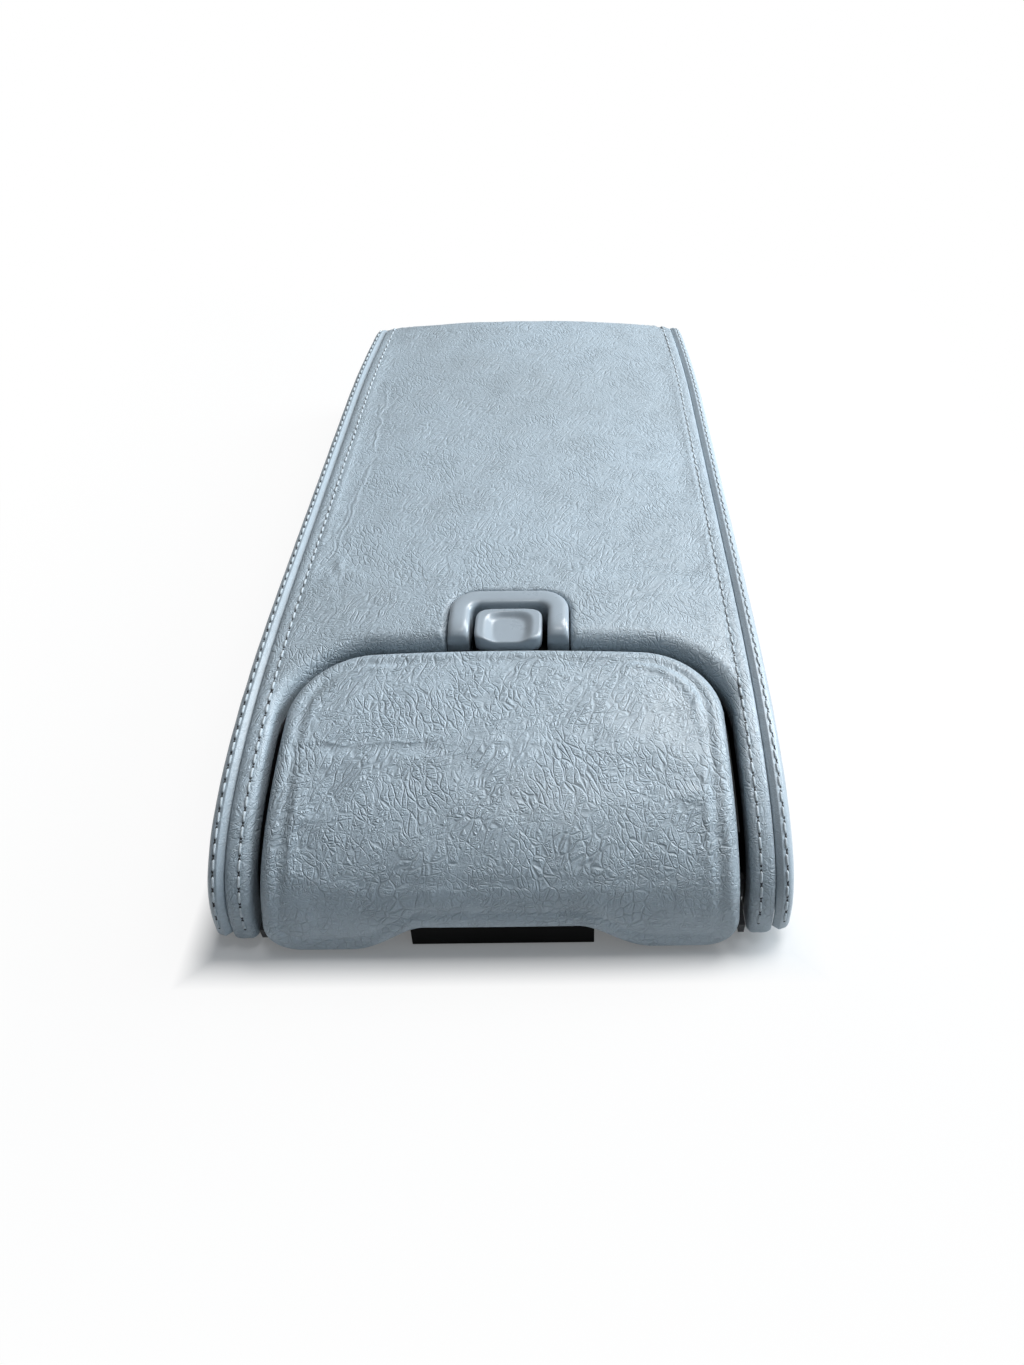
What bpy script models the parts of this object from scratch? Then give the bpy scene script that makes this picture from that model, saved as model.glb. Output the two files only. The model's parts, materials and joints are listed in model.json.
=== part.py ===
"""Center console armrest: a leather-padded armrest with a front lid over a small tray.

Metres, +Z up. The front of the armrest faces -Y, X is across it, and the origin is on the ground at the
middle of its box. Run with: blender --background --python part.py
"""

import math

import bmesh
import bpy
import numpy as np
from mathutils import Matrix, Vector

MM = 0.001

# Body form
FRONT_Y = -196 * MM  # tip of the two front arms
REAR_Y = 195.5 * MM  # rear face at the seams, before the crown
SEAM_Z = 49 * MM  # height of the seams on the flat rear part
NOSE_RUN = 155 * MM  # length over which the top curves down to the front
NOSE_POWER = 3.0  # squareness of that curve
CROWN = 4.5 * MM  # how far the middle of the pad stands above its seams
LID_HALF = 78.2 * MM
SEAM_HALF_FRONT = LID_HALF + 11.8 * MM  # half the distance between the seams, at the front
SEAM_TAPER = 1.7 * MM  # how much narrower that is towards the rear
REAR_PULL = 4.2 * MM  # further narrowing over the last stretch
REAR_PULL_RUN = 100 * MM
REAR_TOP_RADIUS = 13 * MM
REAR_CORNER_RADIUS = 12 * MM
PAD = 9 * MM  # thickness of foam and leather
PAD_BOTTOM_Z = 5 * MM
SIDE_PAD = 6.9 * MM
SIDE_SHOULDER = 6.5 * MM
SEAM_DEPTH = 1.4 * MM
TOUCH = 0.3 * MM  # gap between pieces that touch
CLEAR = 0.8 * MM  # running clearance of moving pieces
WALL = 2.5 * MM
LAP = 0.4 * MM  # how far one joined shape runs into the next
HIGH = 90 * MM  # above every piece, for the cutters

# Lid and its recess
LID_FRONT_Y = -200 * MM
LID_REAR_Y = -103 * MM
LID_GAP = 3.5 * MM
LID_BOTTOM_Z = 3.0 * MM
LID_REAR_RADIUS = 29 * MM
LID_FRONT_RADIUS = 12 * MM
LID_PAD = 6 * MM
LID_PAD_LIP = 1.4 * MM  # leather thickness where the pad wraps the hinge
LID_LIP_RUN = 22 * MM
LID_PANEL = 2.6 * MM
LID_PANEL_GAP = 0.7 * MM  # between the pad and its panel
LID_PANEL_EDGE = 1.5 * MM  # how far the panel stops short of the pad's outline
LID_ROLL = 4.5 * MM
LID_CROWN = 3.5 * MM
STRIKER_FOOT = 12 * MM
STRIKER_HALF = 11 * MM
STRIKER_STEEL = 1.6 * MM
SCALLOP_RISE = 11 * MM
SCALLOP_FLAT_HALF = 25 * MM
SCALLOP_HALF = 50 * MM

# Lid hinge
LID_AXIS_Y = -195 * MM
LID_AXIS_Z = 7.6 * MM
LID_PIN_R = 1.25 * MM
LID_KNUCKLE_R = 2.6 * MM
LID_KNUCKLE = 6 * MM
LID_EAR = 8 * MM
LID_HINGE_X = 56 * MM
LID_ARM = 2.4 * MM  # the knuckles' arms up to the lid panel
LID_ARM_REAR = 4.9 * MM
LID_ARM_RISE = 6 * MM

# Lower shell
FLOOR_Z = 3.0 * MM
FLOOR = 2.5 * MM
SHELL_WALL_TOP = 14 * MM
SHELL_FRONT_Y = -181 * MM
SHELL_GAP = 1.4 * MM  # between the shell's rim and the carrier's skirt
PADDLE_BAY_HALF = 34 * MM
PADDLE_BAY_REAR_Y = -172 * MM
CORNER_TAB = 2 * MM
CORNER_TAB_TOP = 8 * MM

# Release bezel and push button
BEZEL_HALF = 23 * MM
BEZEL_REAR_Y = -72.5 * MM
BEZEL_FRONT_Y = -98.5 * MM
BEZEL_CORNER = 11 * MM
BEZEL_SIDE = 8.2 * MM
BEZEL_BACK = 8.5 * MM
BEZEL_PROUD = 1.2 * MM
BUTTON_GAP = 2 * MM
BUTTON_HALF = BEZEL_HALF - BEZEL_SIDE - BUTTON_GAP
BUTTON_FRONT_Y = -100.5 * MM
BUTTON_CAP = 6 * MM
BUTTON_LOW = 0.8 * MM  # how far the cap's top lies below the bezel's
DISH_DEPTH = 2.2 * MM
DISH_HALF = 8.6 * MM
DISH_LENGTH = 7.5 * MM  # half of it, front to back
DISH_BACK = 1.5 * MM  # from the cap's rear edge to the dish
BUTTON_TRAVEL = 3 * MM
STEM_HALF = 5.5 * MM
STEM_FRONT = 8 * MM  # behind the bezel's front
STEM_LENGTH = 7 * MM
BOLT_HALF = 9.5 * MM
BOLT_NOSE_HALF = 4.5 * MM
BOLT = 3.6 * MM
BOLT_Z = 32 * MM
HOUSING_HALF = 19 * MM
HOUSING_FLOOR_Z = 22 * MM
HOUSING_REAR_Y = -64 * MM
HOUSING_WALL = 2 * MM
SPRING_R = 2.2 * MM  # to the middle of the wire
SPRING_WIRE = 0.35 * MM
BUTTON_TURNS = 3
BOLT_TURNS = 4

# Tray
TRAY_FRONT_Y = -170 * MM
TRAY_INSET = 1.2 * MM  # from the recess outline to the tray's outside
TRAY_BOTTOM_Z = FLOOR_Z + FLOOR + TOUCH + 1 * MM
TRAY_WALL = 2 * MM
TRAY_UNDER_LID = 12.5 * MM  # rim below the lid's outer face
MAT = 1.2 * MM
LID_STOP_X = 34 * MM
LID_STOP_R = 3 * MM
LID_STOP_LEDGE_Z = 31 * MM
LID_STOP_LEDGE = 12 * MM

# Paddle
PADDLE_HALF = 30.5 * MM
PADDLE_FRONT_Y = -197.6 * MM
PADDLE_LEAN = 1.2 * MM  # how far its front leans back towards the top
PADDLE_BOTTOM_Z = 0.9 * MM
PADDLE_TOP_Z = 11 * MM
PADDLE_WALL = 2.6 * MM
PADDLE_UNDER_LID = 3.2 * MM  # room over the paddle's top edge for its swing
PADDLE_AXIS_Y = -181 * MM
PADDLE_AXIS_Z = 19 * MM
PADDLE_PIN_R = 1.5 * MM
PADDLE_HUB_R = 3.2 * MM
HOOK_HALF = 5 * MM
HOOK_STEEL = 2 * MM
HOOK_BARB = 4 * MM
PADDLE_SPRING_HALF = 8 * MM
PADDLE_WIRE = 0.4 * MM
PADDLE_TURNS = 5

# Rear hinge
HINGE_Y = REAR_Y - 18.5 * MM
HINGE_Z = 7 * MM
HINGE_PIN_R = 2 * MM
HINGE_LUG_R = 4 * MM
EAR_X = 39 * MM
EAR = 5 * MM
LUG = 6 * MM
BUSH_WALL = 1 * MM
BRACKET = 2.4 * MM
BRACKET_HALF = 46 * MM
BRACKET_FRONT_Y = HINGE_Y - 39 * MM
BRACKET_REAR_Y = HINGE_Y - 11 * MM
BRACKET_HOLE_R = 2.75 * MM
BRACKET_HOLES = [(sx * 22 * MM, HINGE_Y - 25 * MM) for sx in (-1, 1)]

# Screws and bump stops
SCREW_R = 1.6 * MM
SCREW_HEAD_R = 3.4 * MM
SCREW_HEAD = 2 * MM
BOSS_R = 4 * MM
CASE_SCREW_X = LID_HALF - 12.2 * MM
CASE_SCREWS = [(sx * CASE_SCREW_X, y) for sx in (-1, 1) for y in (LID_REAR_Y + 43 * MM, HINGE_Y - 57 * MM)]
TRAY_SCREWS = [(sx * 48 * MM, TRAY_FRONT_Y + 32 * MM) for sx in (-1, 1)]
CASE_SCREW_LENGTH = 24 * MM
STOP_R = 6 * MM
STOP_STEM_R = 2 * MM
STOP_X = LID_HALF - 8.2 * MM
STOPS = [(sx * STOP_X, y) for sx in (-1, 1) for y in (FRONT_Y + 36 * MM, REAR_Y - 35.5 * MM)]

ROUND = 12  # sides of a turned piece
PROFILE_STEPS = 16


def clear_scene():
    for obj in list(bpy.data.objects):
        bpy.data.objects.remove(obj, do_unlink=True)


def finish(name, color, roughness, metallic=0.0):
    material = bpy.data.materials.new(name)
    material.use_nodes = True
    shader = material.node_tree.nodes["Principled BSDF"]
    shader.inputs["Base Color"].default_value = (*color, 1.0)
    shader.inputs["Roughness"].default_value = roughness
    shader.inputs["Metallic"].default_value = metallic
    return material


def add_object(name, bm, look=None, smooth=False):
    """One named object from a bmesh, with its faces turned outwards."""
    bmesh.ops.recalc_face_normals(bm, faces=bm.faces)
    mesh = bpy.data.meshes.new(name)
    bm.to_mesh(mesh)
    bm.free()
    obj = bpy.data.objects.new(name, mesh)
    bpy.context.scene.collection.objects.link(obj)
    if smooth:
        mesh.shade_smooth()
        mesh.set_sharp_from_angle(angle=math.radians(35))
    if look:
        color, roughness, metallic = look
        mesh.materials.append(finish(name, color, roughness, metallic))
    return obj


def helper(obj):
    obj.hide_render = True
    obj.display_type = "WIRE"
    return obj


def boolean(obj, other, operation="DIFFERENCE"):
    """Adds a Boolean against another object, which becomes a hidden helper."""
    modifier = obj.modifiers.new(f"{operation.lower()} {other.name}", "BOOLEAN")
    modifier.operation = operation
    modifier.solver = "EXACT"
    modifier.object = helper(other)
    return obj


def prism(outline, low, high, axis="Z"):
    """bmesh of a closed outline extruded between two values along an axis."""
    place = {
        "Z": lambda a, b, h: (a, b, h),
        "X": lambda a, b, h: (h, a, b),
        "Y": lambda a, b, h: (a, h, b),
    }[axis]
    bm = bmesh.new()
    rings = [[bm.verts.new(place(a, b, h)) for a, b in outline] for h in (low, high)]
    count = len(outline)
    bm.faces.new(rings[0])
    bm.faces.new(rings[1])
    for i in range(count):
        j = (i + 1) % count
        bm.faces.new((rings[0][i], rings[0][j], rings[1][j], rings[1][i]))
    return bm


def box(low, high):
    outline = [(low[0], low[1]), (high[0], low[1]), (high[0], high[1]), (low[0], high[1])]
    return prism(outline, low[2], high[2])


def arc(cx, cy, radius, start, end, steps):
    """Points of an arc, angles in degrees, both ends included."""
    angles = np.radians(np.linspace(start, end, steps + 1))
    return [(cx + radius * math.cos(a), cy + radius * math.sin(a)) for a in angles]


def rounded_box_outline(x0, x1, y0, y1, radius, steps=4):
    points = arc(x1 - radius, y0 + radius, radius, -90, 0, steps)
    points += arc(x1 - radius, y1 - radius, radius, 0, 90, steps)
    points += arc(x0 + radius, y1 - radius, radius, 90, 180, steps)
    points += arc(x0 + radius, y0 + radius, radius, 180, 270, steps)
    return points


def turned_mesh(profile, place, axis="Z", sides=ROUND):
    """bmesh of a closed profile of (radius, height) turned about an axis through a place."""
    bm = bmesh.new()
    rings = []
    for radius, height in profile:
        if radius < 1e-9:
            rings.append([bm.verts.new((0, 0, height))])
            continue
        turn = [2 * math.pi * k / sides for k in range(sides)]
        rings.append([bm.verts.new((radius * math.cos(a), radius * math.sin(a), height)) for a in turn])
    pairs = list(zip(rings, rings[1:]))
    if profile[0][0] > 1e-9 and profile[-1][0] > 1e-9:
        pairs.append((rings[-1], rings[0]))
    for lower, upper in pairs:
        for k in range(sides):
            m = (k + 1) % sides
            if len(lower) == 1:
                bm.faces.new((lower[0], upper[k], upper[m]))
            elif len(upper) == 1:
                bm.faces.new((lower[k], lower[m], upper[0]))
            else:
                bm.faces.new((lower[k], lower[m], upper[m], upper[k]))
    turn = {
        "Z": Matrix.Identity(4),
        "X": Matrix.Rotation(math.radians(90), 4, "Y"),
        "Y": Matrix.Rotation(math.radians(-90), 4, "X"),
    }[axis]
    bmesh.ops.transform(bm, matrix=Matrix.Translation(place) @ turn, verts=bm.verts)
    return bm


def rod_mesh(radius, low, high, place, axis="Z", sides=ROUND):
    """bmesh of a plain cylinder from low to high along its axis, measured from a place."""
    return turned_mesh([(0, low), (radius, low), (radius, high), (0, high)], place, axis, sides)


def joined(name, pieces, look=None, smooth=False):
    """One object from several separate bmeshes."""
    whole = bmesh.new()
    for piece in pieces:
        mesh = bpy.data.meshes.new(name)
        piece.to_mesh(mesh)
        piece.free()
        whole.from_mesh(mesh)
        bpy.data.meshes.remove(mesh)
    return add_object(name, whole, look, smooth)


def turned(name, profile, origin, look=None, axis="Z", sides=ROUND):
    """A turned object with its origin on its own axis."""
    obj = add_object(name, turned_mesh(profile, (0, 0, 0), axis, sides), look, smooth=True)
    obj.location = origin
    return obj


def rod(name, radius, low, high, origin, look=None, axis="X"):
    """A plain cylinder from low to high along its axis, measured from origin."""
    return turned(name, [(0, low), (radius, low), (radius, high), (0, high)], origin, look, axis)


def coil(name, radius, wire, turns, start, end, per_turn=9, sides=5):
    """A helical spring whose wire's centre line runs from start to end: one tube swept along the helix."""
    start, end = Vector(start), Vector(end)
    along = (end - start).normalized()
    across = along.orthogonal().normalized()
    up = along.cross(across)
    steps = int(turns * per_turn)
    path = []
    for k in range(steps + 1):
        a = 2 * math.pi * turns * k / steps
        centre = start.lerp(end, k / steps)
        path.append(centre + radius * (math.cos(a) * across + math.sin(a) * up))
    bm = bmesh.new()
    rings = []
    for k, point in enumerate(path):
        ahead = path[min(k + 1, len(path) - 1)] - path[max(k - 1, 0)]
        ahead.normalize()
        side = ahead.cross(along).normalized()
        other = ahead.cross(side)
        ring = []
        for s in range(sides):
            a = 2 * math.pi * s / sides
            ring.append(bm.verts.new(point + wire * (math.cos(a) * side + math.sin(a) * other)))
        rings.append(ring)
    bm.faces.new(rings[0])
    bm.faces.new(rings[-1])
    for first, second in zip(rings, rings[1:]):
        for s in range(sides):
            t = (s + 1) % sides
            bm.faces.new((first[s], first[t], second[t], second[s]))
    return add_object(name, bm, STEEL, smooth=True)


def shell_between(name, outer, inner, look=None, smooth=True):
    """A closed solid between two grids of points of the same size, joined round their edges."""
    rows, columns = outer.shape[:2]
    bm = bmesh.new()
    top = [[bm.verts.new(outer[i, j]) for j in range(columns)] for i in range(rows)]
    bottom = [[bm.verts.new(inner[i, j]) for j in range(columns)] for i in range(rows)]
    for grid in (top, bottom):
        for i in range(rows - 1):
            for j in range(columns - 1):
                bm.faces.new((grid[i][j], grid[i][j + 1], grid[i + 1][j + 1], grid[i + 1][j]))
    for i in range(rows - 1):
        for j in (0, columns - 1):
            bm.faces.new((top[i][j], top[i + 1][j], bottom[i + 1][j], bottom[i][j]))
    for j in range(columns - 1):
        for i in (0, rows - 1):
            bm.faces.new((top[i][j], top[i][j + 1], bottom[i][j + 1], bottom[i][j]))
    return add_object(name, bm, look, smooth)


def seam_half(y):
    """Half the distance between the seams at a place along the armrest."""
    share = (y - FRONT_Y) / (REAR_Y - FRONT_Y)
    pull = max(0.0, (y - (REAR_Y - REAR_PULL_RUN)) / REAR_PULL_RUN)
    corner = max(0.0, (y - (REAR_Y - REAR_CORNER_RADIUS)) / REAR_CORNER_RADIUS)
    round_off = REAR_CORNER_RADIUS * (1 - math.sqrt(max(0.0, 1 - min(corner, 1.0) ** 2)))
    return SEAM_HALF_FRONT - SEAM_TAPER * share - REAR_PULL * pull**2 - 0.6 * round_off


def nose_curve(front_y, drop, bottom_z, steps=PROFILE_STEPS):
    """The front of the side profile, from the flat top down to the tip: a superellipse, as (y, z)."""
    height = SEAM_Z - drop
    low = math.asin((bottom_z / height) ** (NOSE_POWER / 2))
    points = []
    for t in np.linspace(math.pi / 2, low, steps + 1):
        y = front_y + NOSE_RUN * (1 - math.cos(t) ** (2 / NOSE_POWER))
        points.append((y, height * math.sin(t) ** (2 / NOSE_POWER)))
    return points


def side_profile(steps=PROFILE_STEPS):
    """The armrest's outer side profile, from the rear bottom over the top to the front tip."""
    corner = arc(REAR_Y - REAR_TOP_RADIUS, SEAM_Z - REAR_TOP_RADIUS, REAR_TOP_RADIUS, 0, 90, 5)
    flat_end = FRONT_Y + NOSE_RUN
    flat = [(y, SEAM_Z) for y in np.linspace(REAR_Y - REAR_TOP_RADIUS, flat_end, 6)[1:-1]]
    return [(REAR_Y, PAD_BOTTOM_Z), (REAR_Y, 22 * MM)] + corner + flat + nose_curve(
        FRONT_Y, 0.0, PAD_BOTTOM_Z, steps
    )


def normals_of(curve):
    """Unit normals of a (y, z) curve that runs from the rear over the top to the front."""
    points = np.array(curve)
    ahead = np.gradient(points, axis=0)
    normals = np.stack([ahead[:, 1], -ahead[:, 0]], axis=1)
    return normals / np.linalg.norm(normals, axis=1)[:, None]


def inset_curve(curve, depth):
    """The curve moved inwards, kept no lower than its own ends."""
    points = np.array(curve) - normals_of(curve) * depth
    points[:, 1] = np.maximum(points[:, 1], PAD_BOTTOM_Z)
    return points


def band_grid(curve, insets, halves, crown, sign_normals):
    """Grid of points: one row per point of the curve, one column per station across it."""
    rows = []
    for (y, z), (ny, nz) in zip(curve, sign_normals):
        row = []
        for inset, half in zip(insets, halves):
            x = half(y)
            share = min(1.0, abs(x) / SEAM_HALF_FRONT)
            lift = crown * (1 - share**2) - inset
            row.append((x, y + ny * lift, max(z + nz * lift, PAD_BOTTOM_Z)))
        rows.append(row)
    return np.array(rows)


def recess_outline(grow=0.0, front=FRONT_Y - 20 * MM):
    """Plan outline of the lid's recess, open towards the front."""
    half = LID_HALF + LID_GAP + grow
    rear = LID_REAR_Y + LID_GAP + grow
    radius = LID_REAR_RADIUS + LID_GAP + grow
    points = [(-half, front), (half, front)]
    points += arc(half - radius, rear - radius, radius, 0, 90, 7)
    points += arc(radius - half, rear - radius, radius, 90, 180, 7)
    return points


def bezel_outline(grow=0.0, front=BEZEL_FRONT_Y):
    half = BEZEL_HALF + grow
    rear = BEZEL_REAR_Y + grow
    radius = BEZEL_CORNER + grow
    points = [(-half, front - grow), (half, front - grow)]
    points += arc(half - radius, rear - radius, radius, 0, 90, 5)
    points += arc(radius - half, rear - radius, radius, 90, 180, 5)
    return points


LEATHER = ((0.44, 0.51, 0.58), 0.45, 0.0)
SATIN = ((0.38, 0.44, 0.5), 0.35, 0.0)
BLACK = ((0.02, 0.02, 0.022), 0.4, 0.0)
RUBBER = ((0.03, 0.03, 0.03), 0.8, 0.0)
STEEL = ((0.55, 0.56, 0.58), 0.35, 1.0)
FELT = ((0.05, 0.05, 0.055), 0.95, 0.0)


def build_centre_pad():
    """The middle of the upholstery, with two arms that run forward beside the lid."""
    curve = side_profile()
    normals = normals_of(curve)
    edge = SEAM_DEPTH
    shares = [-1, -0.985, -0.93, -0.6, -0.3, 0, 0.3, 0.6, 0.93, 0.985, 1]
    insets = [edge, 0.4 * edge, 0, 0, 0, 0, 0, 0, 0, 0.4 * edge, edge]
    halves = [lambda y, s=s: s * (seam_half(y) - TOUCH / 2) for s in shares]
    outer = band_grid(curve, insets, halves, CROWN, normals)
    under = inset_curve(curve, PAD)
    inner = np.array([[(half(y_out), y, z) for half in halves] for (y, z), (y_out, _) in zip(under, curve)])
    pad = shell_between("centre_pad", outer, inner, LEATHER)
    recess = add_object("cut_recess", prism(recess_outline(), -10 * MM, HIGH))
    boolean(pad, recess)
    pocket = add_object("cut_bezel_pocket", prism(bezel_outline(TOUCH, LID_REAR_Y), 20 * MM, HIGH))
    boolean(pad, pocket)
    return recess


def build_side_pads():
    """The two padded flanks, outside the seams."""
    curve = side_profile()
    normals = normals_of(curve)
    out = SIDE_PAD
    stations = [
        (TOUCH / 2, SEAM_DEPTH),
        (1.4 * MM, 0.4 * SEAM_DEPTH),
        (2.6 * MM, 0.0),
        (out - 0.5 * SIDE_SHOULDER, 0.12 * SIDE_SHOULDER),
        (out - 0.15 * SIDE_SHOULDER, 0.5 * SIDE_SHOULDER),
        (out, SIDE_SHOULDER),
    ]
    count = len(curve)
    for side, name in ((-1, "side_pad_left"), (1, "side_pad_right")):
        bm = bmesh.new()
        tops, bottoms = [], []
        for x_add, inset in stations:
            top, bottom = [], []
            for (y, z), (ny, nz) in zip(curve, normals):
                x = side * (seam_half(y) + x_add)
                y_in, z_in = y - ny * inset, max(z - nz * inset, PAD_BOTTOM_Z + 1.5 * MM + inset * 0.3)
                y_low = min(max(y, FRONT_Y + 2 * MM + inset), REAR_Y - inset)
                top.append(bm.verts.new((x, y_in, z_in)))
                bottom.append(bm.verts.new((x, y_low, PAD_BOTTOM_Z + 0.3 * inset)))
            tops.append(top)
            bottoms.append(bottom)
        last = len(stations) - 1
        for k in range(last):
            for i in range(count - 1):
                bm.faces.new((tops[k][i], tops[k][i + 1], tops[k + 1][i + 1], tops[k + 1][i]))
                bm.faces.new((bottoms[k][i], bottoms[k][i + 1], bottoms[k + 1][i + 1], bottoms[k + 1][i]))
            for i in (0, count - 1):
                bm.faces.new((tops[k][i], tops[k + 1][i], bottoms[k + 1][i], bottoms[k][i]))
        for k in (0, last):
            for i in range(count - 1):
                bm.faces.new((tops[k][i], tops[k][i + 1], bottoms[k][i + 1], bottoms[k][i]))
        bmesh.ops.remove_doubles(bm, verts=bm.verts, dist=1e-6)
        add_object(name, bm, LEATHER, smooth=True)


def inner_block(name, depth, side_gap, bottom_z):
    """A closed block that fills the inside of the upholstery, inset by depth, with straight sides."""
    curve = [(y, z) for y, z in inset_curve(side_profile(), depth) if z > PAD_BOTTOM_Z]
    curve = [(curve[0][0], PAD_BOTTOM_Z)] + curve + [(curve[-1][0], PAD_BOTTOM_Z)]
    outer = np.array([[(s * (seam_half(y) - side_gap), y, z) for s in (-1, 0, 1)] for y, z in curve])
    inner = outer.copy()
    inner[:, :, 2] = bottom_z
    spread = np.linspace(curve[0][0], curve[-1][0], len(curve))
    inner[:, :, 1] = spread[:, None]
    for i, y in enumerate(spread):
        inner[i, :, 0] = [s * (seam_half(y) - side_gap) for s in (-1, 0, 1)]
    return shell_between(name, outer, inner)


def build_pad_carrier(recess):
    """The moulding under the upholstery: an upturned tub with a wall round the lid's recess."""
    bottom = FLOOR_Z + 0.2 * MM
    carrier = inner_block("pad_carrier", PAD + TOUCH, TOUCH / 2, bottom)
    cavity = inner_block("cut_carrier_cavity", PAD + TOUCH + WALL, TOUCH / 2 + WALL, bottom - 10 * MM)
    boolean(carrier, cavity)
    wall = add_object("add_recess_wall", prism(recess_outline(WALL), SHELL_WALL_TOP + CLEAR, HIGH))
    envelope = inner_block("envelope_recess_wall", PAD + TOUCH, TOUCH / 2 + 0.1 * MM, 0.0)
    boolean(wall, envelope, "INTERSECT")
    boolean(carrier, wall, "UNION")
    top = SEAM_Z - PAD - TOUCH - 0.5 * WALL
    bosses = [rod_mesh(BOSS_R, SHELL_WALL_TOP, top, (x, y, 0)) for x, y in CASE_SCREWS]
    boolean(carrier, joined("add_carrier_bosses", bosses), "UNION")
    boolean(carrier, recess)
    bottom, top = SHELL_WALL_TOP - 5 * MM, FLOOR_Z + CASE_SCREW_LENGTH + 4 * MM
    holes = [rod_mesh(SCREW_R + TOUCH, bottom, top, (x, y, 0)) for x, y in CASE_SCREWS]
    boolean(carrier, joined("cut_carrier_bosses", holes))
    low, high = HOUSING_HALF + TOUCH, HIGH
    corner = (-low, BEZEL_FRONT_Y - 20 * MM, 20 * MM)
    opening = add_object("cut_housing_opening", box(corner, (low, HOUSING_REAR_Y + TOUCH, high)))
    boolean(carrier, opening)
    carrier.data.materials.append(finish("pad_carrier", *BLACK))


def shell_plan(grow=0.0):
    """Half plan outline of the lower shell, mirrored to both sides."""
    ys = np.linspace(SHELL_FRONT_Y - grow, REAR_Y - PAD - WALL - SHELL_GAP + grow, 11)
    right = [(seam_half(y) - WALL - SHELL_GAP + grow, y) for y in ys]
    return right + [(-x, y) for x, y in reversed(right)]


def span(side, low, high):
    """The values low to high of one side, in rising order."""
    return sorted((side * low, side * high))


def cheek_and_ear_meshes():
    """Cheeks that carry the paddle's pin, ears that carry the lid's pins, and the front corner tabs."""
    meshes = []
    for sx in (-1, 1):
        cheek = [
            (PADDLE_BAY_REAR_Y + 1 * MM, FLOOR_Z + LAP),
            (PADDLE_BAY_REAR_Y + 1 * MM, SHELL_WALL_TOP - LAP),
            (PADDLE_AXIS_Y + 4 * MM, PADDLE_AXIS_Z + PADDLE_HUB_R),
            (PADDLE_AXIS_Y - PADDLE_HUB_R, PADDLE_AXIS_Z + PADDLE_HUB_R),
            (PADDLE_AXIS_Y - PADDLE_HUB_R, PADDLE_AXIS_Z - 6 * MM),
            (SHELL_FRONT_Y + 1 * MM, FLOOR_Z + LAP),
        ]
        meshes.append(prism(cheek, *span(sx, PADDLE_BAY_HALF - LAP, PADDLE_BAY_HALF + WALL), axis="X"))
        under = LID_AXIS_Z - 1.6 * MM
        ear = arc(LID_AXIS_Y, LID_AXIS_Z, LID_KNUCKLE_R, 90, 250, 8)
        ear += [(LID_AXIS_Y + 1 * MM, under), (SHELL_FRONT_Y + 1 * MM, under)]
        ear += [(SHELL_FRONT_Y + 1 * MM, LID_AXIS_Z + LID_KNUCKLE_R)]
        meshes.append(prism(ear, *span(sx, LID_HINGE_X - LID_EAR / 2, LID_HINGE_X + LID_EAR / 2), axis="X"))
        low, high = span(sx, LID_HALF + CLEAR, LID_HALF + CLEAR + CORNER_TAB)
        corner = (low, FRONT_Y + 1 * MM, FLOOR_Z + LAP)
        meshes.append(box(corner, (high, SHELL_FRONT_Y + 3 * MM, CORNER_TAB_TOP)))
    return meshes


def lug_meshes():
    """Hinge lugs either side of each bracket ear."""
    meshes = []
    for sx in (-1, 1):
        for start in (EAR_X - EAR / 2 - CLEAR - LUG, EAR_X + EAR / 2 + CLEAR):
            lug = [(HINGE_Y - HINGE_LUG_R, FLOOR_Z + 1 * MM)]
            lug += reversed(arc(HINGE_Y, HINGE_Z, HINGE_LUG_R, 0, 180, 8))
            lug += [(HINGE_Y + HINGE_LUG_R, FLOOR_Z + 1 * MM)]
            meshes.append(prism(lug, *span(sx, start, start + LUG), axis="X"))
    return meshes


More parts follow.
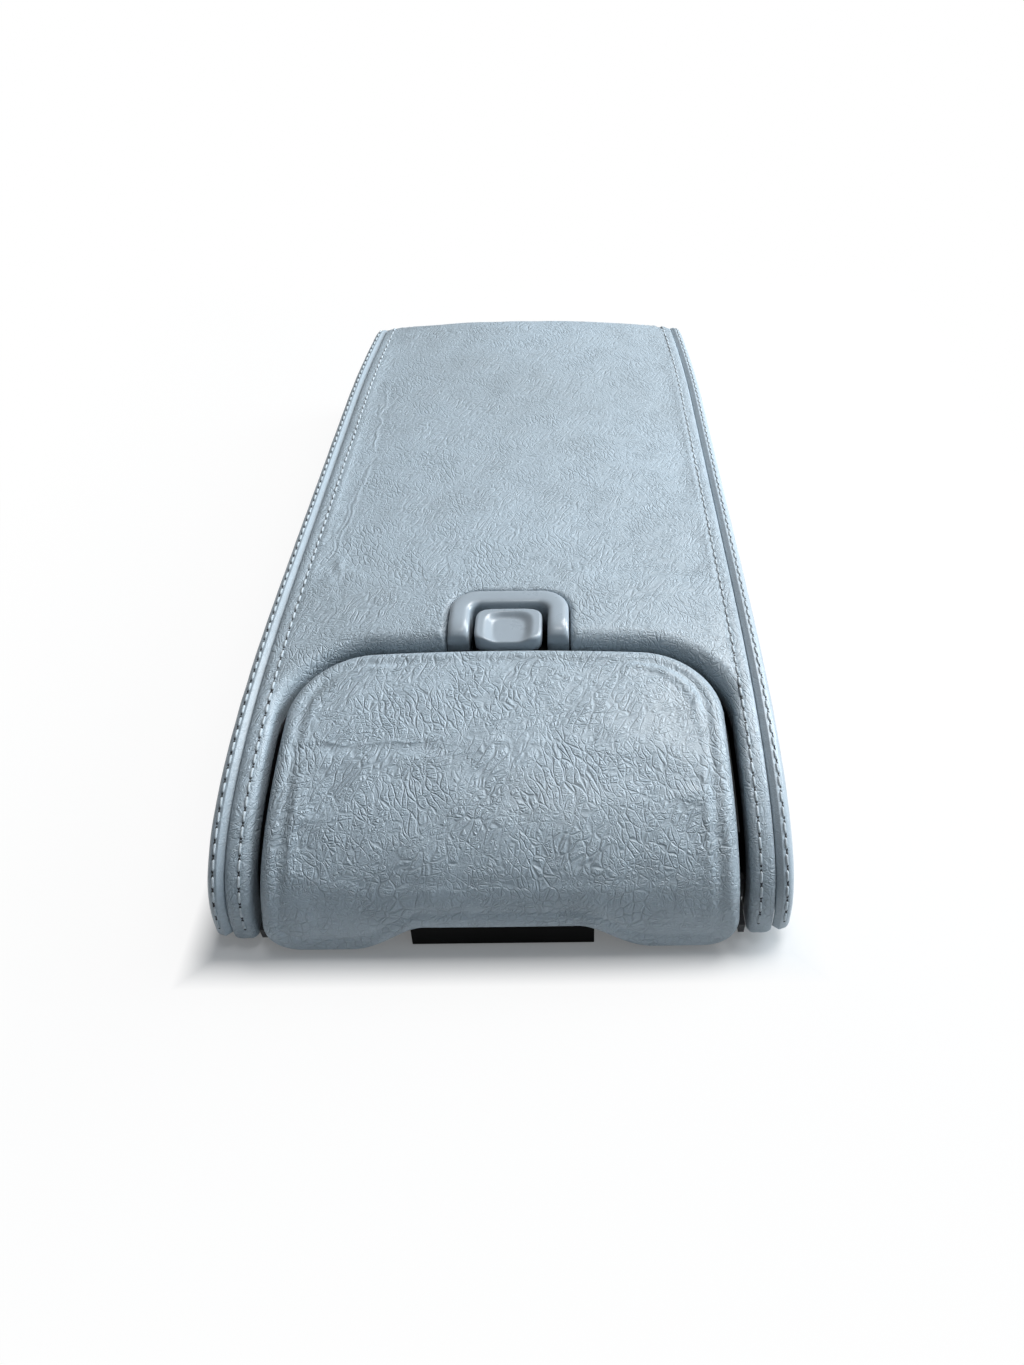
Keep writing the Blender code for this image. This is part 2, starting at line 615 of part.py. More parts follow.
def build_base_shell():
    """The lower moulding: floor, rim, paddle bay, hinge ears, lugs and screw bosses."""
    shell = add_object("base_shell", prism(shell_plan(), FLOOR_Z, SHELL_WALL_TOP), BLACK)
    openings = [prism(shell_plan(-WALL), FLOOR_Z + FLOOR, HIGH)]
    boolean(shell, joined("cut_shell_hollow", openings))
    bay = box((-PADDLE_BAY_HALF, LID_FRONT_Y - 30 * MM, -10 * MM), (PADDLE_BAY_HALF, PADDLE_BAY_REAR_Y, HIGH))
    openings = [bay]
    for sx in (-1, 1):
        low, high = span(sx, EAR_X - EAR / 2 - CLEAR, EAR_X + EAR / 2 + CLEAR)
        corner = (low, BRACKET_REAR_Y - 6 * MM, -10 * MM)
        openings.append(box(corner, (high, REAR_Y, HINGE_Z + HINGE_LUG_R + 1 * MM)))
    boolean(shell, joined("cut_shell_openings", openings))
    boolean(shell, joined("add_shell_ears", cheek_and_ear_meshes() + lug_meshes()), "UNION")
    bosses = [rod_mesh(BOSS_R, FLOOR_Z + 1 * MM, SHELL_WALL_TOP - TOUCH, (x, y, 0)) for x, y in CASE_SCREWS]
    bosses += [rod_mesh(BOSS_R, FLOOR_Z + 1 * MM, TRAY_BOTTOM_Z - TOUCH, (x, y, 0)) for x, y in TRAY_SCREWS]
    boolean(shell, joined("add_shell_bosses", bosses), "UNION")
    low, high = -5 * MM, 30 * MM
    holes = [rod_mesh(SCREW_R + TOUCH, low, high, (x, y, 0)) for x, y in CASE_SCREWS + TRAY_SCREWS]
    holes += [rod_mesh(STOP_STEM_R + TOUCH, low, high, (x, y, 0)) for x, y in STOPS]
    pin_end = PADDLE_BAY_HALF + 3 * WALL
    holes.append(rod_mesh(PADDLE_PIN_R + TOUCH, -pin_end, pin_end, (0, PADDLE_AXIS_Y, PADDLE_AXIS_Z), "X"))
    pin_end = EAR_X + EAR / 2 + CLEAR + 2 * LUG
    holes.append(rod_mesh(HINGE_PIN_R + TOUCH, -pin_end, pin_end, (0, HINGE_Y, HINGE_Z), "X"))
    for sx in (-1, 1):
        place = (sx * LID_HINGE_X, LID_AXIS_Y, LID_AXIS_Z)
        holes.append(rod_mesh(LID_PIN_R + TOUCH, -LID_EAR, LID_EAR, place, "X"))
    boolean(shell, joined("cut_shell_holes", holes))


def build_bezel_and_housing():
    """The U-shaped trim round the push button, and the housing that guides button and bolt."""
    top = SEAM_Z + CROWN + BEZEL_PROUD
    seat = SEAM_Z - PAD
    bezel = add_object("release_bezel", prism(bezel_outline(), seat, top), SATIN, smooth=True)
    opening_half = BEZEL_HALF - BEZEL_SIDE
    back = BEZEL_REAR_Y - BEZEL_BACK
    mouth = rounded_box_outline(-opening_half, opening_half, BEZEL_FRONT_Y - 20 * MM, back, 4 * MM)
    boolean(bezel, add_object("cut_bezel_mouth", prism(mouth, 0, HIGH)))
    roll = [(BEZEL_FRONT_Y - 5 * MM, HIGH)]
    for run, drop in ((-5, 5), (0, 4), (2, 1.8), (5, 0.5), (9, 0)):
        roll.append((BEZEL_FRONT_Y + run * MM, top - drop * MM))
    roll.append((BEZEL_FRONT_Y + 9 * MM, HIGH))
    boolean(bezel, add_object("cut_bezel_roll", prism(roll, -40 * MM, 40 * MM, axis="X")))

    housing_top = SEAM_Z - PAD - TOUCH
    rear = HOUSING_REAR_Y
    housing = add_object(
        "latch_housing",
        box((-HOUSING_HALF, BEZEL_FRONT_Y, HOUSING_FLOOR_Z), (HOUSING_HALF, rear, housing_top)),
        BLACK,
    )
    inner = HOUSING_HALF - HOUSING_WALL
    room = box(
        (-inner, BEZEL_FRONT_Y + HOUSING_WALL, HOUSING_FLOOR_Z + HOUSING_WALL),
        (inner, rear - HOUSING_WALL, HIGH),
    )
    boolean(housing, add_object("cut_housing_room", room))
    nose = BOLT_NOSE_HALF + CLEAR
    window = box((-nose, -120 * MM, BOLT_Z - CLEAR), (nose, BEZEL_FRONT_Y + 8 * MM, BOLT_Z + BOLT + CLEAR))
    boolean(housing, add_object("cut_bolt_window", window))
    rails = []
    for sx in (-1, 1):
        low, high = span(sx, BOLT_HALF - 1.5 * MM, inner + 0.5 * MM)
        corner = (low, BEZEL_FRONT_Y + 1 * MM, HOUSING_FLOOR_Z + 1 * MM)
        rails.append(box(corner, (high, rear - 1 * MM, BOLT_Z - TOUCH)))
    boolean(housing, joined("add_bolt_rails", rails), "UNION")


def build_button_and_bolt():
    """The push button with its stem, the latch bolt that it drives, and both return springs."""
    top = SEAM_Z + CROWN + BEZEL_PROUD - BUTTON_LOW
    rear = BEZEL_REAR_Y - BEZEL_BACK - BUTTON_GAP
    cap_outline = rounded_box_outline(-BUTTON_HALF, BUTTON_HALF, BUTTON_FRONT_Y, rear, 3.5 * MM)
    button = add_object("release_button", prism(cap_outline, top - BUTTON_CAP, top), SATIN, smooth=True)
    stem_front = BEZEL_FRONT_Y + STEM_FRONT
    stem_rear = stem_front + STEM_LENGTH
    stem_low = BOLT_Z - 1.5 * MM
    slope = BUTTON_TRAVEL + 0.5 * MM
    stem_top = top - BUTTON_CAP + LAP
    stem = [(stem_front, stem_top), (stem_front, stem_low), (stem_rear - slope, stem_low)]
    stem += [(stem_rear, stem_low + slope), (stem_rear, stem_top)]
    boolean(button, add_object("add_stem", prism(stem, -STEM_HALF, STEM_HALF, axis="X")), "UNION")
    middle = rear - DISH_BACK - DISH_LENGTH
    dish = bmesh.new()
    bmesh.ops.create_icosphere(dish, subdivisions=3, radius=1.0)
    bmesh.ops.scale(dish, vec=(DISH_HALF, DISH_LENGTH, DISH_DEPTH), verts=dish.verts)
    bmesh.ops.translate(dish, vec=(0, middle, top), verts=dish.verts)
    boolean(button, add_object("cut_dish", dish))

    nose_y = LID_REAR_Y - 1.7 * MM
    shoulder = BEZEL_FRONT_Y + HOUSING_WALL + TOUCH
    window_front = stem_front - CLEAR - BUTTON_TRAVEL
    bar_rear = stem_rear + 4 * MM
    plan = [
        (-BOLT_NOSE_HALF, nose_y),
        (BOLT_NOSE_HALF, nose_y),
        (BOLT_NOSE_HALF, shoulder),
        (BOLT_HALF, shoulder),
        (BOLT_HALF, bar_rear),
        (-BOLT_HALF, bar_rear),
        (-BOLT_HALF, shoulder),
        (-BOLT_NOSE_HALF, shoulder),
    ]
    bolt = add_object("latch_bolt", prism(plan, BOLT_Z, BOLT_Z + BOLT), BLACK)
    gap = TOUCH * math.sqrt(2)
    ramp_y = stem_rear - slope + gap
    window = [
        (window_front, BOLT_Z - 4 * MM),
        (ramp_y + (BOLT_Z - 4 * MM - stem_low), BOLT_Z - 4 * MM),
        (ramp_y + (BOLT_Z + BOLT + 1 * MM - stem_low), BOLT_Z + BOLT + 1 * MM),
        (window_front, BOLT_Z + BOLT + 1 * MM),
    ]
    cut = prism(window, -STEM_HALF - CLEAR, STEM_HALF + CLEAR, axis="X")
    boolean(bolt, add_object("cut_bolt_frame", cut))

    spring_y = stem_front + 3 * MM
    seat_gap = SPRING_WIRE + TOUCH
    floor = HOUSING_FLOOR_Z + HOUSING_WALL
    coil(
        "button_spring",
        SPRING_R,
        SPRING_WIRE,
        BUTTON_TURNS,
        (0, spring_y, floor + seat_gap),
        (0, spring_y, stem_low - seat_gap),
    )
    axis_z = BOLT_Z + BOLT / 2
    coil(
        "bolt_spring",
        SPRING_R,
        SPRING_WIRE,
        BOLT_TURNS,
        (0, bar_rear + seat_gap, axis_z),
        (0, HOUSING_REAR_Y - HOUSING_WALL - seat_gap, axis_z),
    )


def lid_limits(x, grow=0.0):
    """Shares of the lid's arc length left out at the front and the rear, at a place across it."""
    half = LID_HALF - grow
    reach = abs(x)
    rear = 0.0
    inner = half - LID_REAR_RADIUS
    if reach > inner:
        rear = LID_REAR_RADIUS - math.sqrt(max(0.0, LID_REAR_RADIUS**2 - (reach - inner) ** 2))
    front = 0.0
    inner = half - LID_FRONT_RADIUS
    if reach > inner:
        front = LID_FRONT_RADIUS - math.sqrt(max(0.0, LID_FRONT_RADIUS**2 - (reach - inner) ** 2))
    blend = min(1.0, max(0.0, (SCALLOP_HALF - reach) / (SCALLOP_HALF - SCALLOP_FLAT_HALF)))
    front += SCALLOP_RISE * blend**2 * (3 - 2 * blend)
    return front + grow, rear + grow


class LidCurve:
    """The lid's outer side curve by arc length, from its front bottom edge to its rear edge."""

    def __init__(self):
        curve = np.array(nose_curve(LID_FRONT_Y, 0.0, LID_BOTTOM_Z, 60)[::-1])
        curve = curve[curve[:, 0] <= LID_REAR_Y + 2 * MM]
        steps = np.linalg.norm(np.diff(curve, axis=0), axis=1)
        self.length = np.concatenate([[0], np.cumsum(steps)])
        self.curve = curve
        ahead = np.gradient(curve, self.length, axis=0)
        normals = np.stack([-ahead[:, 1], ahead[:, 0]], axis=1)
        self.normals = normals / np.linalg.norm(normals, axis=1)[:, None]
        self.total = float(np.interp(LID_REAR_Y, curve[:, 0], self.length))

    def at(self, s):
        point = [np.interp(s, self.length, self.curve[:, k]) for k in (0, 1)]
        normal = [np.interp(s, self.length, self.normals[:, k]) for k in (0, 1)]
        size = math.hypot(*normal)
        return point, (normal[0] / size, normal[1] / size)


def lid_grid(curve, depth, grow, roll, shares, steps):
    """Grid of points on the lid at a depth below its outer face, with a rolled border."""
    half = LID_HALF - grow
    rows = []
    for across in shares:
        x = across * half
        front, rear = lid_limits(x, grow)
        row = []
        for along in steps:
            s = front + along * (curve.total - rear - front)
            edge = min(half - abs(x), s - front, curve.total - rear - s)
            bend = min(roll, 0.7 * lid_depth(s))
            fall = bend - math.sqrt(max(0.0, bend**2 - (bend - min(edge, bend)) ** 2))
            (y, z), (ny, nz) = curve.at(s)
            lift = LID_CROWN * (1 - (x / LID_HALF) ** 2) * min(1.0, s / (30 * MM)) - fall - depth(s)
            row.append((x, y + ny * lift, z + nz * lift))
        rows.append(row)
    return np.array(rows)


def lid_depth(s):
    """Thickness of the lid's pad by arc length: thin where it wraps the hinge."""
    share = min(1.0, s / LID_LIP_RUN)
    return LID_PAD_LIP + (LID_PAD - LID_PAD_LIP) * share**2 * (3 - 2 * share)


def build_lid():
    """The lid's pad, the panel it is wrapped on, its knuckles, pins and striker."""
    curve = LidCurve()
    shares = [-1, -0.985, -0.95, -0.85, -0.7, -0.5, -0.38, -0.3, -0.15, 0]
    shares += [-s for s in reversed(shares[:-1])]
    steps = [0, 0.012, 0.04, 0.1, 0.2, 0.32, 0.45, 0.6, 0.75, 0.88, 0.955, 0.985, 1]
    roll = LID_ROLL
    outer = lid_grid(curve, lambda s: 0.0, 0.0, roll, shares, steps)
    inner = lid_grid(curve, lid_depth, 0.0, 0.0, shares, steps)
    shell_between("lid_pad", outer, inner, LEATHER)

    shares = [-1, -0.95, -0.85, -0.7, -0.5, -0.38, -0.3, 0]
    shares += [-s for s in reversed(shares[:-1])]
    steps = [0, 0.04, 0.1, 0.2, 0.32, 0.45, 0.6, 0.8, 1]
    top = lid_grid(curve, lambda s: lid_depth(s) + LID_PANEL_GAP, LID_PANEL_EDGE, 0.0, shares, steps)
    under = LID_PANEL_GAP + LID_PANEL
    bottom = lid_grid(curve, lambda s: lid_depth(s) + under, LID_PANEL_EDGE, 0.0, shares, steps)
    panel = shell_between("lid_panel", top, bottom, BLACK)
    reach = LID_EAR / 2 + CLEAR / 2
    root_z = LID_AXIS_Z + LID_KNUCKLE_R + CLEAR
    pin_half = reach + LID_KNUCKLE
    notches, arms, bores = [], [], []
    for sx in (-1, 1):
        low, high = span(sx, LID_HINGE_X - pin_half - LAP, LID_HINGE_X + pin_half + LAP)
        notches.append(box((low, LID_FRONT_Y - 5 * MM, -5 * MM), (high, LID_AXIS_Y + 12 * MM, root_z)))
        for start in (-pin_half, reach):
            knuckle = arc(LID_AXIS_Y, LID_AXIS_Z, LID_KNUCKLE_R, 150, 380, 10)
            knuckle += [(LID_AXIS_Y + LID_ARM_REAR, root_z + LID_ARM_RISE)]
            knuckle += [(LID_AXIS_Y + LID_ARM_REAR - LID_ARM, root_z + LID_ARM_RISE)]
            place = span(sx, LID_HINGE_X + start, LID_HINGE_X + start + LID_KNUCKLE)
            arms.append(prism(knuckle, *place, axis="X"))
        place = (sx * LID_HINGE_X, LID_AXIS_Y, LID_AXIS_Z)
        bores.append(rod_mesh(LID_PIN_R + TOUCH, -pin_half - CLEAR, pin_half + CLEAR, place, "X"))
        side = "left" if sx < 0 else "right"
        rod(f"lid_hinge_pin_{side}", LID_PIN_R, -pin_half, pin_half, place, STEEL)
    boolean(panel, joined("cut_lid_notches", notches))
    boolean(panel, joined("add_lid_knuckles", arms), "UNION")
    top = STRIKER_STEEL + 2 * TOUCH + LID_PANEL - CLEAR
    bores += [rod_mesh(SCREW_R + TOUCH, -1 * MM, top, place) for place in striker_seats(curve)]
    boolean(panel, joined("cut_lid_bores", bores))
    return curve


def lid_underside(curve, y):
    """Height of the lid panel's underside on the centre line."""
    s = float(np.interp(y, curve.curve[:, 0], curve.length))
    (_, z), (_, nz) = curve.at(s)
    return z + nz * (LID_CROWN - LID_PAD - LID_PANEL_GAP - LID_PANEL)


def striker_seats(curve):
    """Where the striker's two screws bear on its foot."""
    y = LID_REAR_Y - 2 * MM - STRIKER_FOOT + 4 * MM
    seat = lid_underside(curve, y) - TOUCH - STRIKER_STEEL
    return [(sx * (STRIKER_HALF - 4 * MM), y, seat) for sx in (-1, 1)]


def build_striker(curve):
    """The loop under the lid's rear edge that the bolt catches, and its screws."""
    rear = LID_REAR_Y - 2 * MM
    front = rear - STRIKER_FOOT
    top = [(y, lid_underside(curve, y) - TOUCH) for y in (front, (front + rear) / 2, rear)]
    steel = STRIKER_STEEL
    foot = [(y, z - steel) for y, z in reversed(top[:2])]
    drop = [(rear, BOLT_Z - 3 * MM), (rear - steel, BOLT_Z - 3 * MM), (rear - steel, top[2][1] - 1.3 * steel)]
    shape = top + drop + foot
    striker = add_object("lid_striker", prism(shape, -STRIKER_HALF, STRIKER_HALF, axis="X"), STEEL)
    half = BOLT_NOSE_HALF + CLEAR
    openings = [box((-half, rear - 5 * MM, BOLT_Z - CLEAR), (half, rear + 5 * MM, BOLT_Z + BOLT + CLEAR))]
    openings += [rod_mesh(SCREW_R + TOUCH, -6 * MM, 6 * MM, place) for place in striker_seats(curve)]
    boolean(striker, joined("cut_striker", openings))
    for k, (x, y, z) in enumerate(striker_seats(curve)):
        screw(f"striker_screw_{k + 1}", (x, y, z - TOUCH - 0.4 * MM), steel + 1.7 * MM)


def screw(name, seat, length):
    """A pan-head screw pointing up, with its head below the seat."""
    profile = [(0, -SCREW_HEAD), (SCREW_HEAD_R * 0.6, -SCREW_HEAD), (SCREW_HEAD_R, -0.4 * SCREW_HEAD)]
    profile += [(SCREW_HEAD_R, 0), (SCREW_R, 0), (SCREW_R, length - 1 * MM)]
    profile += [(0.4 * SCREW_R, length), (0, length)]
    obj = turned(name, profile, seat, STEEL, sides=10)
    slot = box((-0.5 * MM, -2 * MM, -SCREW_HEAD - 1 * MM), (0.5 * MM, 2 * MM, -SCREW_HEAD + 0.9 * MM))
    cutter = add_object(f"cut_slot_{name}", slot)
    cutter.location = seat
    boolean(obj, cutter)


def lid_block(name, curve, front, rear, drop, bottom_z):
    """A closed block under the lid: its top follows the lid's curve, drop below it."""
    half = LID_HALF + LID_GAP
    outer, inner = [], []
    for y in np.linspace(front, rear, 9):
        s = float(np.interp(y, curve.curve[:, 0], curve.length))
        z = curve.at(s)[0][1] - drop
        outer.append([(x, y, z) for x in (-half, 0, half)])
        inner.append([(x, y, bottom_z) for x in (-half, 0, half)])
    return shell_between(name, np.array(outer), np.array(inner), smooth=False)


def build_tray(curve):
    """The open tray under the lid, its mat, its screws and the rubber stops that the lid closes on."""
    rear = LID_REAR_Y + LID_GAP - TRAY_INSET
    floor_z = TRAY_BOTTOM_Z + TRAY_WALL
    plan = recess_outline(-TRAY_INSET, TRAY_FRONT_Y)
    tray = add_object("storage_tray", prism(plan, TRAY_BOTTOM_Z, HIGH), BLACK)
    rim = lid_block("envelope_tray", curve, TRAY_FRONT_Y - 2 * MM, rear + 2 * MM, TRAY_UNDER_LID, 0.0)
    boolean(tray, rim, "INTERSECT")
    plan = recess_outline(-TRAY_INSET - TRAY_WALL, TRAY_FRONT_Y + TRAY_WALL)
    boolean(tray, add_object("cut_tray_room", prism(plan, floor_z, HIGH)))
    holes = [rod_mesh(SCREW_R + TOUCH, -5 * MM, 3 * MM, (x, y, floor_z)) for x, y in TRAY_SCREWS]
    boolean(tray, joined("cut_tray_holes", holes))
    nose = BOLT_NOSE_HALF + CLEAR
    notch = box((-nose, rear - TRAY_WALL - 2 * MM, BOLT_Z - CLEAR), (nose, rear + 2 * MM, HIGH))
    boolean(tray, add_object("cut_tray_bolt_notch", notch))
    plan = recess_outline(-TRAY_INSET - TRAY_WALL - TOUCH, TRAY_FRONT_Y + TRAY_WALL + TOUCH)
    mat = add_object("tray_mat", prism(plan, floor_z + TOUCH, floor_z + TOUCH + MAT), FELT)
    holes = [rod_mesh(SCREW_R + TOUCH, -5 * MM, 5 * MM, (x, y, floor_z)) for x, y in TRAY_SCREWS]
    boolean(mat, joined("cut_mat_holes", holes))
    for k, (x, y) in enumerate(TRAY_SCREWS):
        screw(f"tray_screw_{k + 1}", (x, y, FLOOR_Z - TOUCH), floor_z - FLOOR_Z)
    y = LID_REAR_Y - LID_PANEL_EDGE - LID_STOP_R - 2 * CLEAR
    reach = LID_STOP_R + 1 * MM
    ledges = []
    for sx in (-1, 1):
        x = sx * LID_STOP_X
        low = (x - reach, y - reach, LID_STOP_LEDGE_Z - LID_STOP_LEDGE)
        ledges.append(box(low, (x + reach, rear - TRAY_WALL / 2, LID_STOP_LEDGE_Z)))
        crown_loss = LID_CROWN * (x / LID_HALF) ** 2
        top = lid_underside(curve, y) - crown_loss - 2 * TOUCH
        side = "left" if sx < 0 else "right"
        rod(f"lid_stop_{side}", LID_STOP_R, LID_STOP_LEDGE_Z + TOUCH, top, (x, y, 0), RUBBER, axis="Z")
    boolean(tray, joined("add_tray_ledges", ledges), "UNION")


def build_paddle():
    """The release paddle with its console hook, its pin and its return spring."""
    y0, z0 = PADDLE_AXIS_Y, PADDLE_AXIS_Z
    front, low, high, wall = PADDLE_FRONT_Y, PADDLE_BOTTOM_Z, PADDLE_TOP_Z, PADDLE_WALL
    back = front + PADDLE_LEAN + wall + 0.4 * MM
    plate = [
        (front + 1 * MM, low),
        (front + wall, low),
        (back, high - wall),
        (y0 + 2 * MM, high - wall),
    ]
    plate += arc(y0, z0, PADDLE_HUB_R, 0, 180, 8)
    plate += [
        (y0 - 2.4 * MM, high),
        (front + PADDLE_LEAN + 0.3 * MM, high),
        (front + PADDLE_LEAN, high - 2 * MM),
        (front, low + 1.5 * MM),
    ]
    paddle = add_object("release_paddle", prism(plate, -PADDLE_HALF, PADDLE_HALF, axis="X"), BLACK)
    hub_gap = PADDLE_SPRING_HALF + CLEAR
    shape = [(-HIGH, 30 * MM)]
    for x in np.linspace(-SCALLOP_HALF, SCALLOP_HALF, 17):
        shape.append((x, LID_BOTTOM_Z + lid_limits(x)[0] - PADDLE_UNDER_LID))
    shape.append((HIGH, 30 * MM))
    boolean(paddle, add_object("cut_paddle_shoulders", prism(shape, front - 5 * MM, y0 - 7 * MM, axis="Y")))
    room = box((-hub_gap, y0 - 4 * MM, high + 0.5 * MM), (hub_gap, y0 + 6 * MM, z0 + 8 * MM))
    boolean(paddle, add_object("cut_paddle_spring_room", room))
    bore = rod("cut_paddle_bore", PADDLE_PIN_R + TOUCH, -40 * MM, 40 * MM, (0, y0, z0))
    boolean(paddle, bore)
    pin_half = PADDLE_BAY_HALF + WALL - TOUCH
    rod("paddle_pin", PADDLE_PIN_R, -pin_half, pin_half, (0, y0, z0), STEEL)

    top_z = high - wall - TOUCH
    hook = [
        (back + 1 * MM, top_z),
        (back + 1 * MM, top_z - HOOK_STEEL),
        (y0 - HOOK_STEEL, top_z - HOOK_STEEL),
        (y0 - HOOK_STEEL, low),
        (y0 + HOOK_BARB, low),
        (y0 + HOOK_BARB - 1.5 * MM, low + 1.8 * MM),
        (y0, low + 1.8 * MM),
        (y0, top_z),
    ]
    add_object("console_hook", prism(hook, -HOOK_HALF, HOOK_HALF, axis="X"), STEEL)
    radius = PADDLE_PIN_R + TOUCH + PADDLE_WIRE
    half = PADDLE_SPRING_HALF
    coil("paddle_spring", radius, PADDLE_WIRE, PADDLE_TURNS, (-half, y0, z0), (half, y0, z0))


def build_rear_hinge():
    """The console bracket with its ears, the bushes in them and the hinge pin."""
    plate = box((-BRACKET_HALF, BRACKET_FRONT_Y, TOUCH / 3), (BRACKET_HALF, BRACKET_REAR_Y, BRACKET))
    bracket = add_object("console_bracket", plate, STEEL)
    bore = HINGE_PIN_R + TOUCH + BUSH_WALL
    ear_r = bore + 1.5 * MM
    ears, holes = [], []
    for sx in (-1, 1):
        ear = [(BRACKET_REAR_Y - 12 * MM, LAP), (HINGE_Y - 2 * MM, LAP + 1.2 * MM)]
        ear += arc(HINGE_Y, HINGE_Z, ear_r, -80, 120, 10)
        ear += [(BRACKET_REAR_Y - 4 * MM, BRACKET), (BRACKET_REAR_Y - 12 * MM, BRACKET - LAP)]
        ears.append(prism(ear, *span(sx, EAR_X - EAR / 2, EAR_X + EAR / 2), axis="X"))
        place = (sx * EAR_X, HINGE_Y, HINGE_Z)
        holes.append(rod_mesh(bore + TOUCH, -EAR, EAR, place, "X"))
        inside = HINGE_PIN_R + TOUCH
        ring = [(inside, -EAR / 2), (bore, -EAR / 2), (bore, EAR / 2), (inside, EAR / 2)]
        side = "left" if sx < 0 else "right"
        turned(f"hinge_bush_{side}", ring, place, RUBBER, axis="X")
    boolean(bracket, joined("add_bracket_ears", ears), "UNION")
    holes += [rod_mesh(BRACKET_HOLE_R, -5 * MM, 8 * MM, (x, y, 0)) for x, y in BRACKET_HOLES]
    boolean(bracket, joined("cut_bracket_holes", holes))
    half = EAR_X + EAR / 2 + CLEAR + LUG
    rod("hinge_pin", HINGE_PIN_R, -half, half, (0, HINGE_Y, HINGE_Z), STEEL)


def build_fasteners():
    """Case screws from below, and the rubber stops that the armrest closes on."""
    for k, (x, y) in enumerate(CASE_SCREWS):
        screw(f"case_screw_{k + 1}", (x, y, FLOOR_Z - TOUCH), CASE_SCREW_LENGTH)
    for k, (x, y) in enumerate(STOPS):
        profile = [(0, 0), (STOP_R - 0.6 * MM, 0), (STOP_R, 0.6 * MM), (STOP_R, FLOOR_Z - TOUCH)]
        stem_top = FLOOR_Z + FLOOR + CLEAR
        profile += [(STOP_STEM_R, FLOOR_Z - TOUCH), (STOP_STEM_R, stem_top), (0, stem_top)]
        turned(f"bump_stop_{k + 1}", profile, (x, y, 0), RUBBER)


def hang_on_axis(name, place, members):
    """Parents moving pieces, and the shapes that cut them, to an empty on their joint's axis."""
    axis = bpy.data.objects.new(name, None)
    axis.empty_display_size = 10 * MM
    axis.location = place
    bpy.context.scene.collection.objects.link(axis)
    pieces = [bpy.data.objects[member] for member in members]
    for piece in pieces:
        for modifier in piece.modifiers:
            if modifier.object and modifier.object not in pieces:
                pieces.append(modifier.object)
    for piece in pieces:
        piece.parent = axis
        piece.location = piece.location - axis.location


def place_axes():
    """One empty on each joint's axis, with that joint's pieces under it."""
    lid = ["lid_pad", "lid_panel", "lid_striker", "striker_screw_1", "striker_screw_2"]
    hang_on_axis("axis_lid", (0, LID_AXIS_Y, LID_AXIS_Z), lid)
    hang_on_axis("axis_button", (0, BUTTON_FRONT_Y, SEAM_Z), ["release_button"])
    hang_on_axis("axis_bolt", (0, BEZEL_FRONT_Y, BOLT_Z), ["latch_bolt"])
    hang_on_axis("axis_paddle", (0, PADDLE_AXIS_Y, PADDLE_AXIS_Z), ["release_paddle", "console_hook"])
    bracket = ["console_bracket", "hinge_bush_left", "hinge_bush_right"]
    hang_on_axis("axis_bracket", (0, HINGE_Y, HINGE_Z), bracket)


def main():
    clear_scene()
    recess = build_centre_pad()
    build_side_pads()
    build_pad_carrier(recess)
    build_base_shell()
    build_bezel_and_housing()
    build_button_and_bolt()
    curve = build_lid()
    build_striker(curve)
    build_tray(curve)
    build_paddle()
    build_rear_hinge()
    build_fasteners()
    place_axes()


if __name__ == "__main__":
    main()
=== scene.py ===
"""Center console armrest: the looks of a padded leather armrest with a front lid over a small tray.

Metres, +Z up, the front towards -Y. Every surface is worked out with numpy in the frame of the CAD model:
the leather covers follow the armrest's side curve by arc length, and lie where their CAD solids lie.
"""

import json
import logging
import math
from collections.abc import Callable
from dataclasses import dataclass, field
from enum import Enum

import bmesh
import bpy
import numpy as np
from mathutils import Matrix, Vector

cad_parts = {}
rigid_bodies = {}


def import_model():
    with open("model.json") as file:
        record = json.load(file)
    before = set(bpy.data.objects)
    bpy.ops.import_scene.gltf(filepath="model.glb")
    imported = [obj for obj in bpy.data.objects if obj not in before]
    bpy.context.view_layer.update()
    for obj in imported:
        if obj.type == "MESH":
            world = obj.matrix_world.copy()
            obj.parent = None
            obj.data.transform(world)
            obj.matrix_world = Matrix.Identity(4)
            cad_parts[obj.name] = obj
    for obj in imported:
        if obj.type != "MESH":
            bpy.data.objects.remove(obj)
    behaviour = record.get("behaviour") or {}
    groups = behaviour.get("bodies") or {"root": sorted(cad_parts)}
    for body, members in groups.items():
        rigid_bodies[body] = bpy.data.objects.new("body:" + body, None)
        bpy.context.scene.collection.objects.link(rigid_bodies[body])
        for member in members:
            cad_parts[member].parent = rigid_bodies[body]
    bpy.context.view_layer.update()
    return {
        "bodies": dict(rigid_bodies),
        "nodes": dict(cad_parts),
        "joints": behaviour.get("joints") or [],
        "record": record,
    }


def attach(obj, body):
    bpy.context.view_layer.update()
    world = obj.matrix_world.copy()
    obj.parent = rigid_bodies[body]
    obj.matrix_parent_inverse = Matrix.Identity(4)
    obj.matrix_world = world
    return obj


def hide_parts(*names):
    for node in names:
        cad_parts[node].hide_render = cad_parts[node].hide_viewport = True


Array = np.ndarray
MM = 0.001
log = logging.getLogger("armrest")


class Side(Enum):
    """The two flanks, as signs of X."""

    LEFT = -1
    RIGHT = 1


class Body(Enum):
    """The bodies of the CAD model that pieces ride on."""

    ARMREST = "armrest"
    LID = "lid"
    BUTTON = "button"
    PADDLE = "paddle"


# ---------------------------------------------------------------- mesh building


def smooth_step(t: Array) -> Array:
    """The cubic 3t^2 - 2t^3 of t held between 0 and 1."""
    t = np.clip(t, 0.0, 1.0)
    return t * t * (3 - 2 * t)


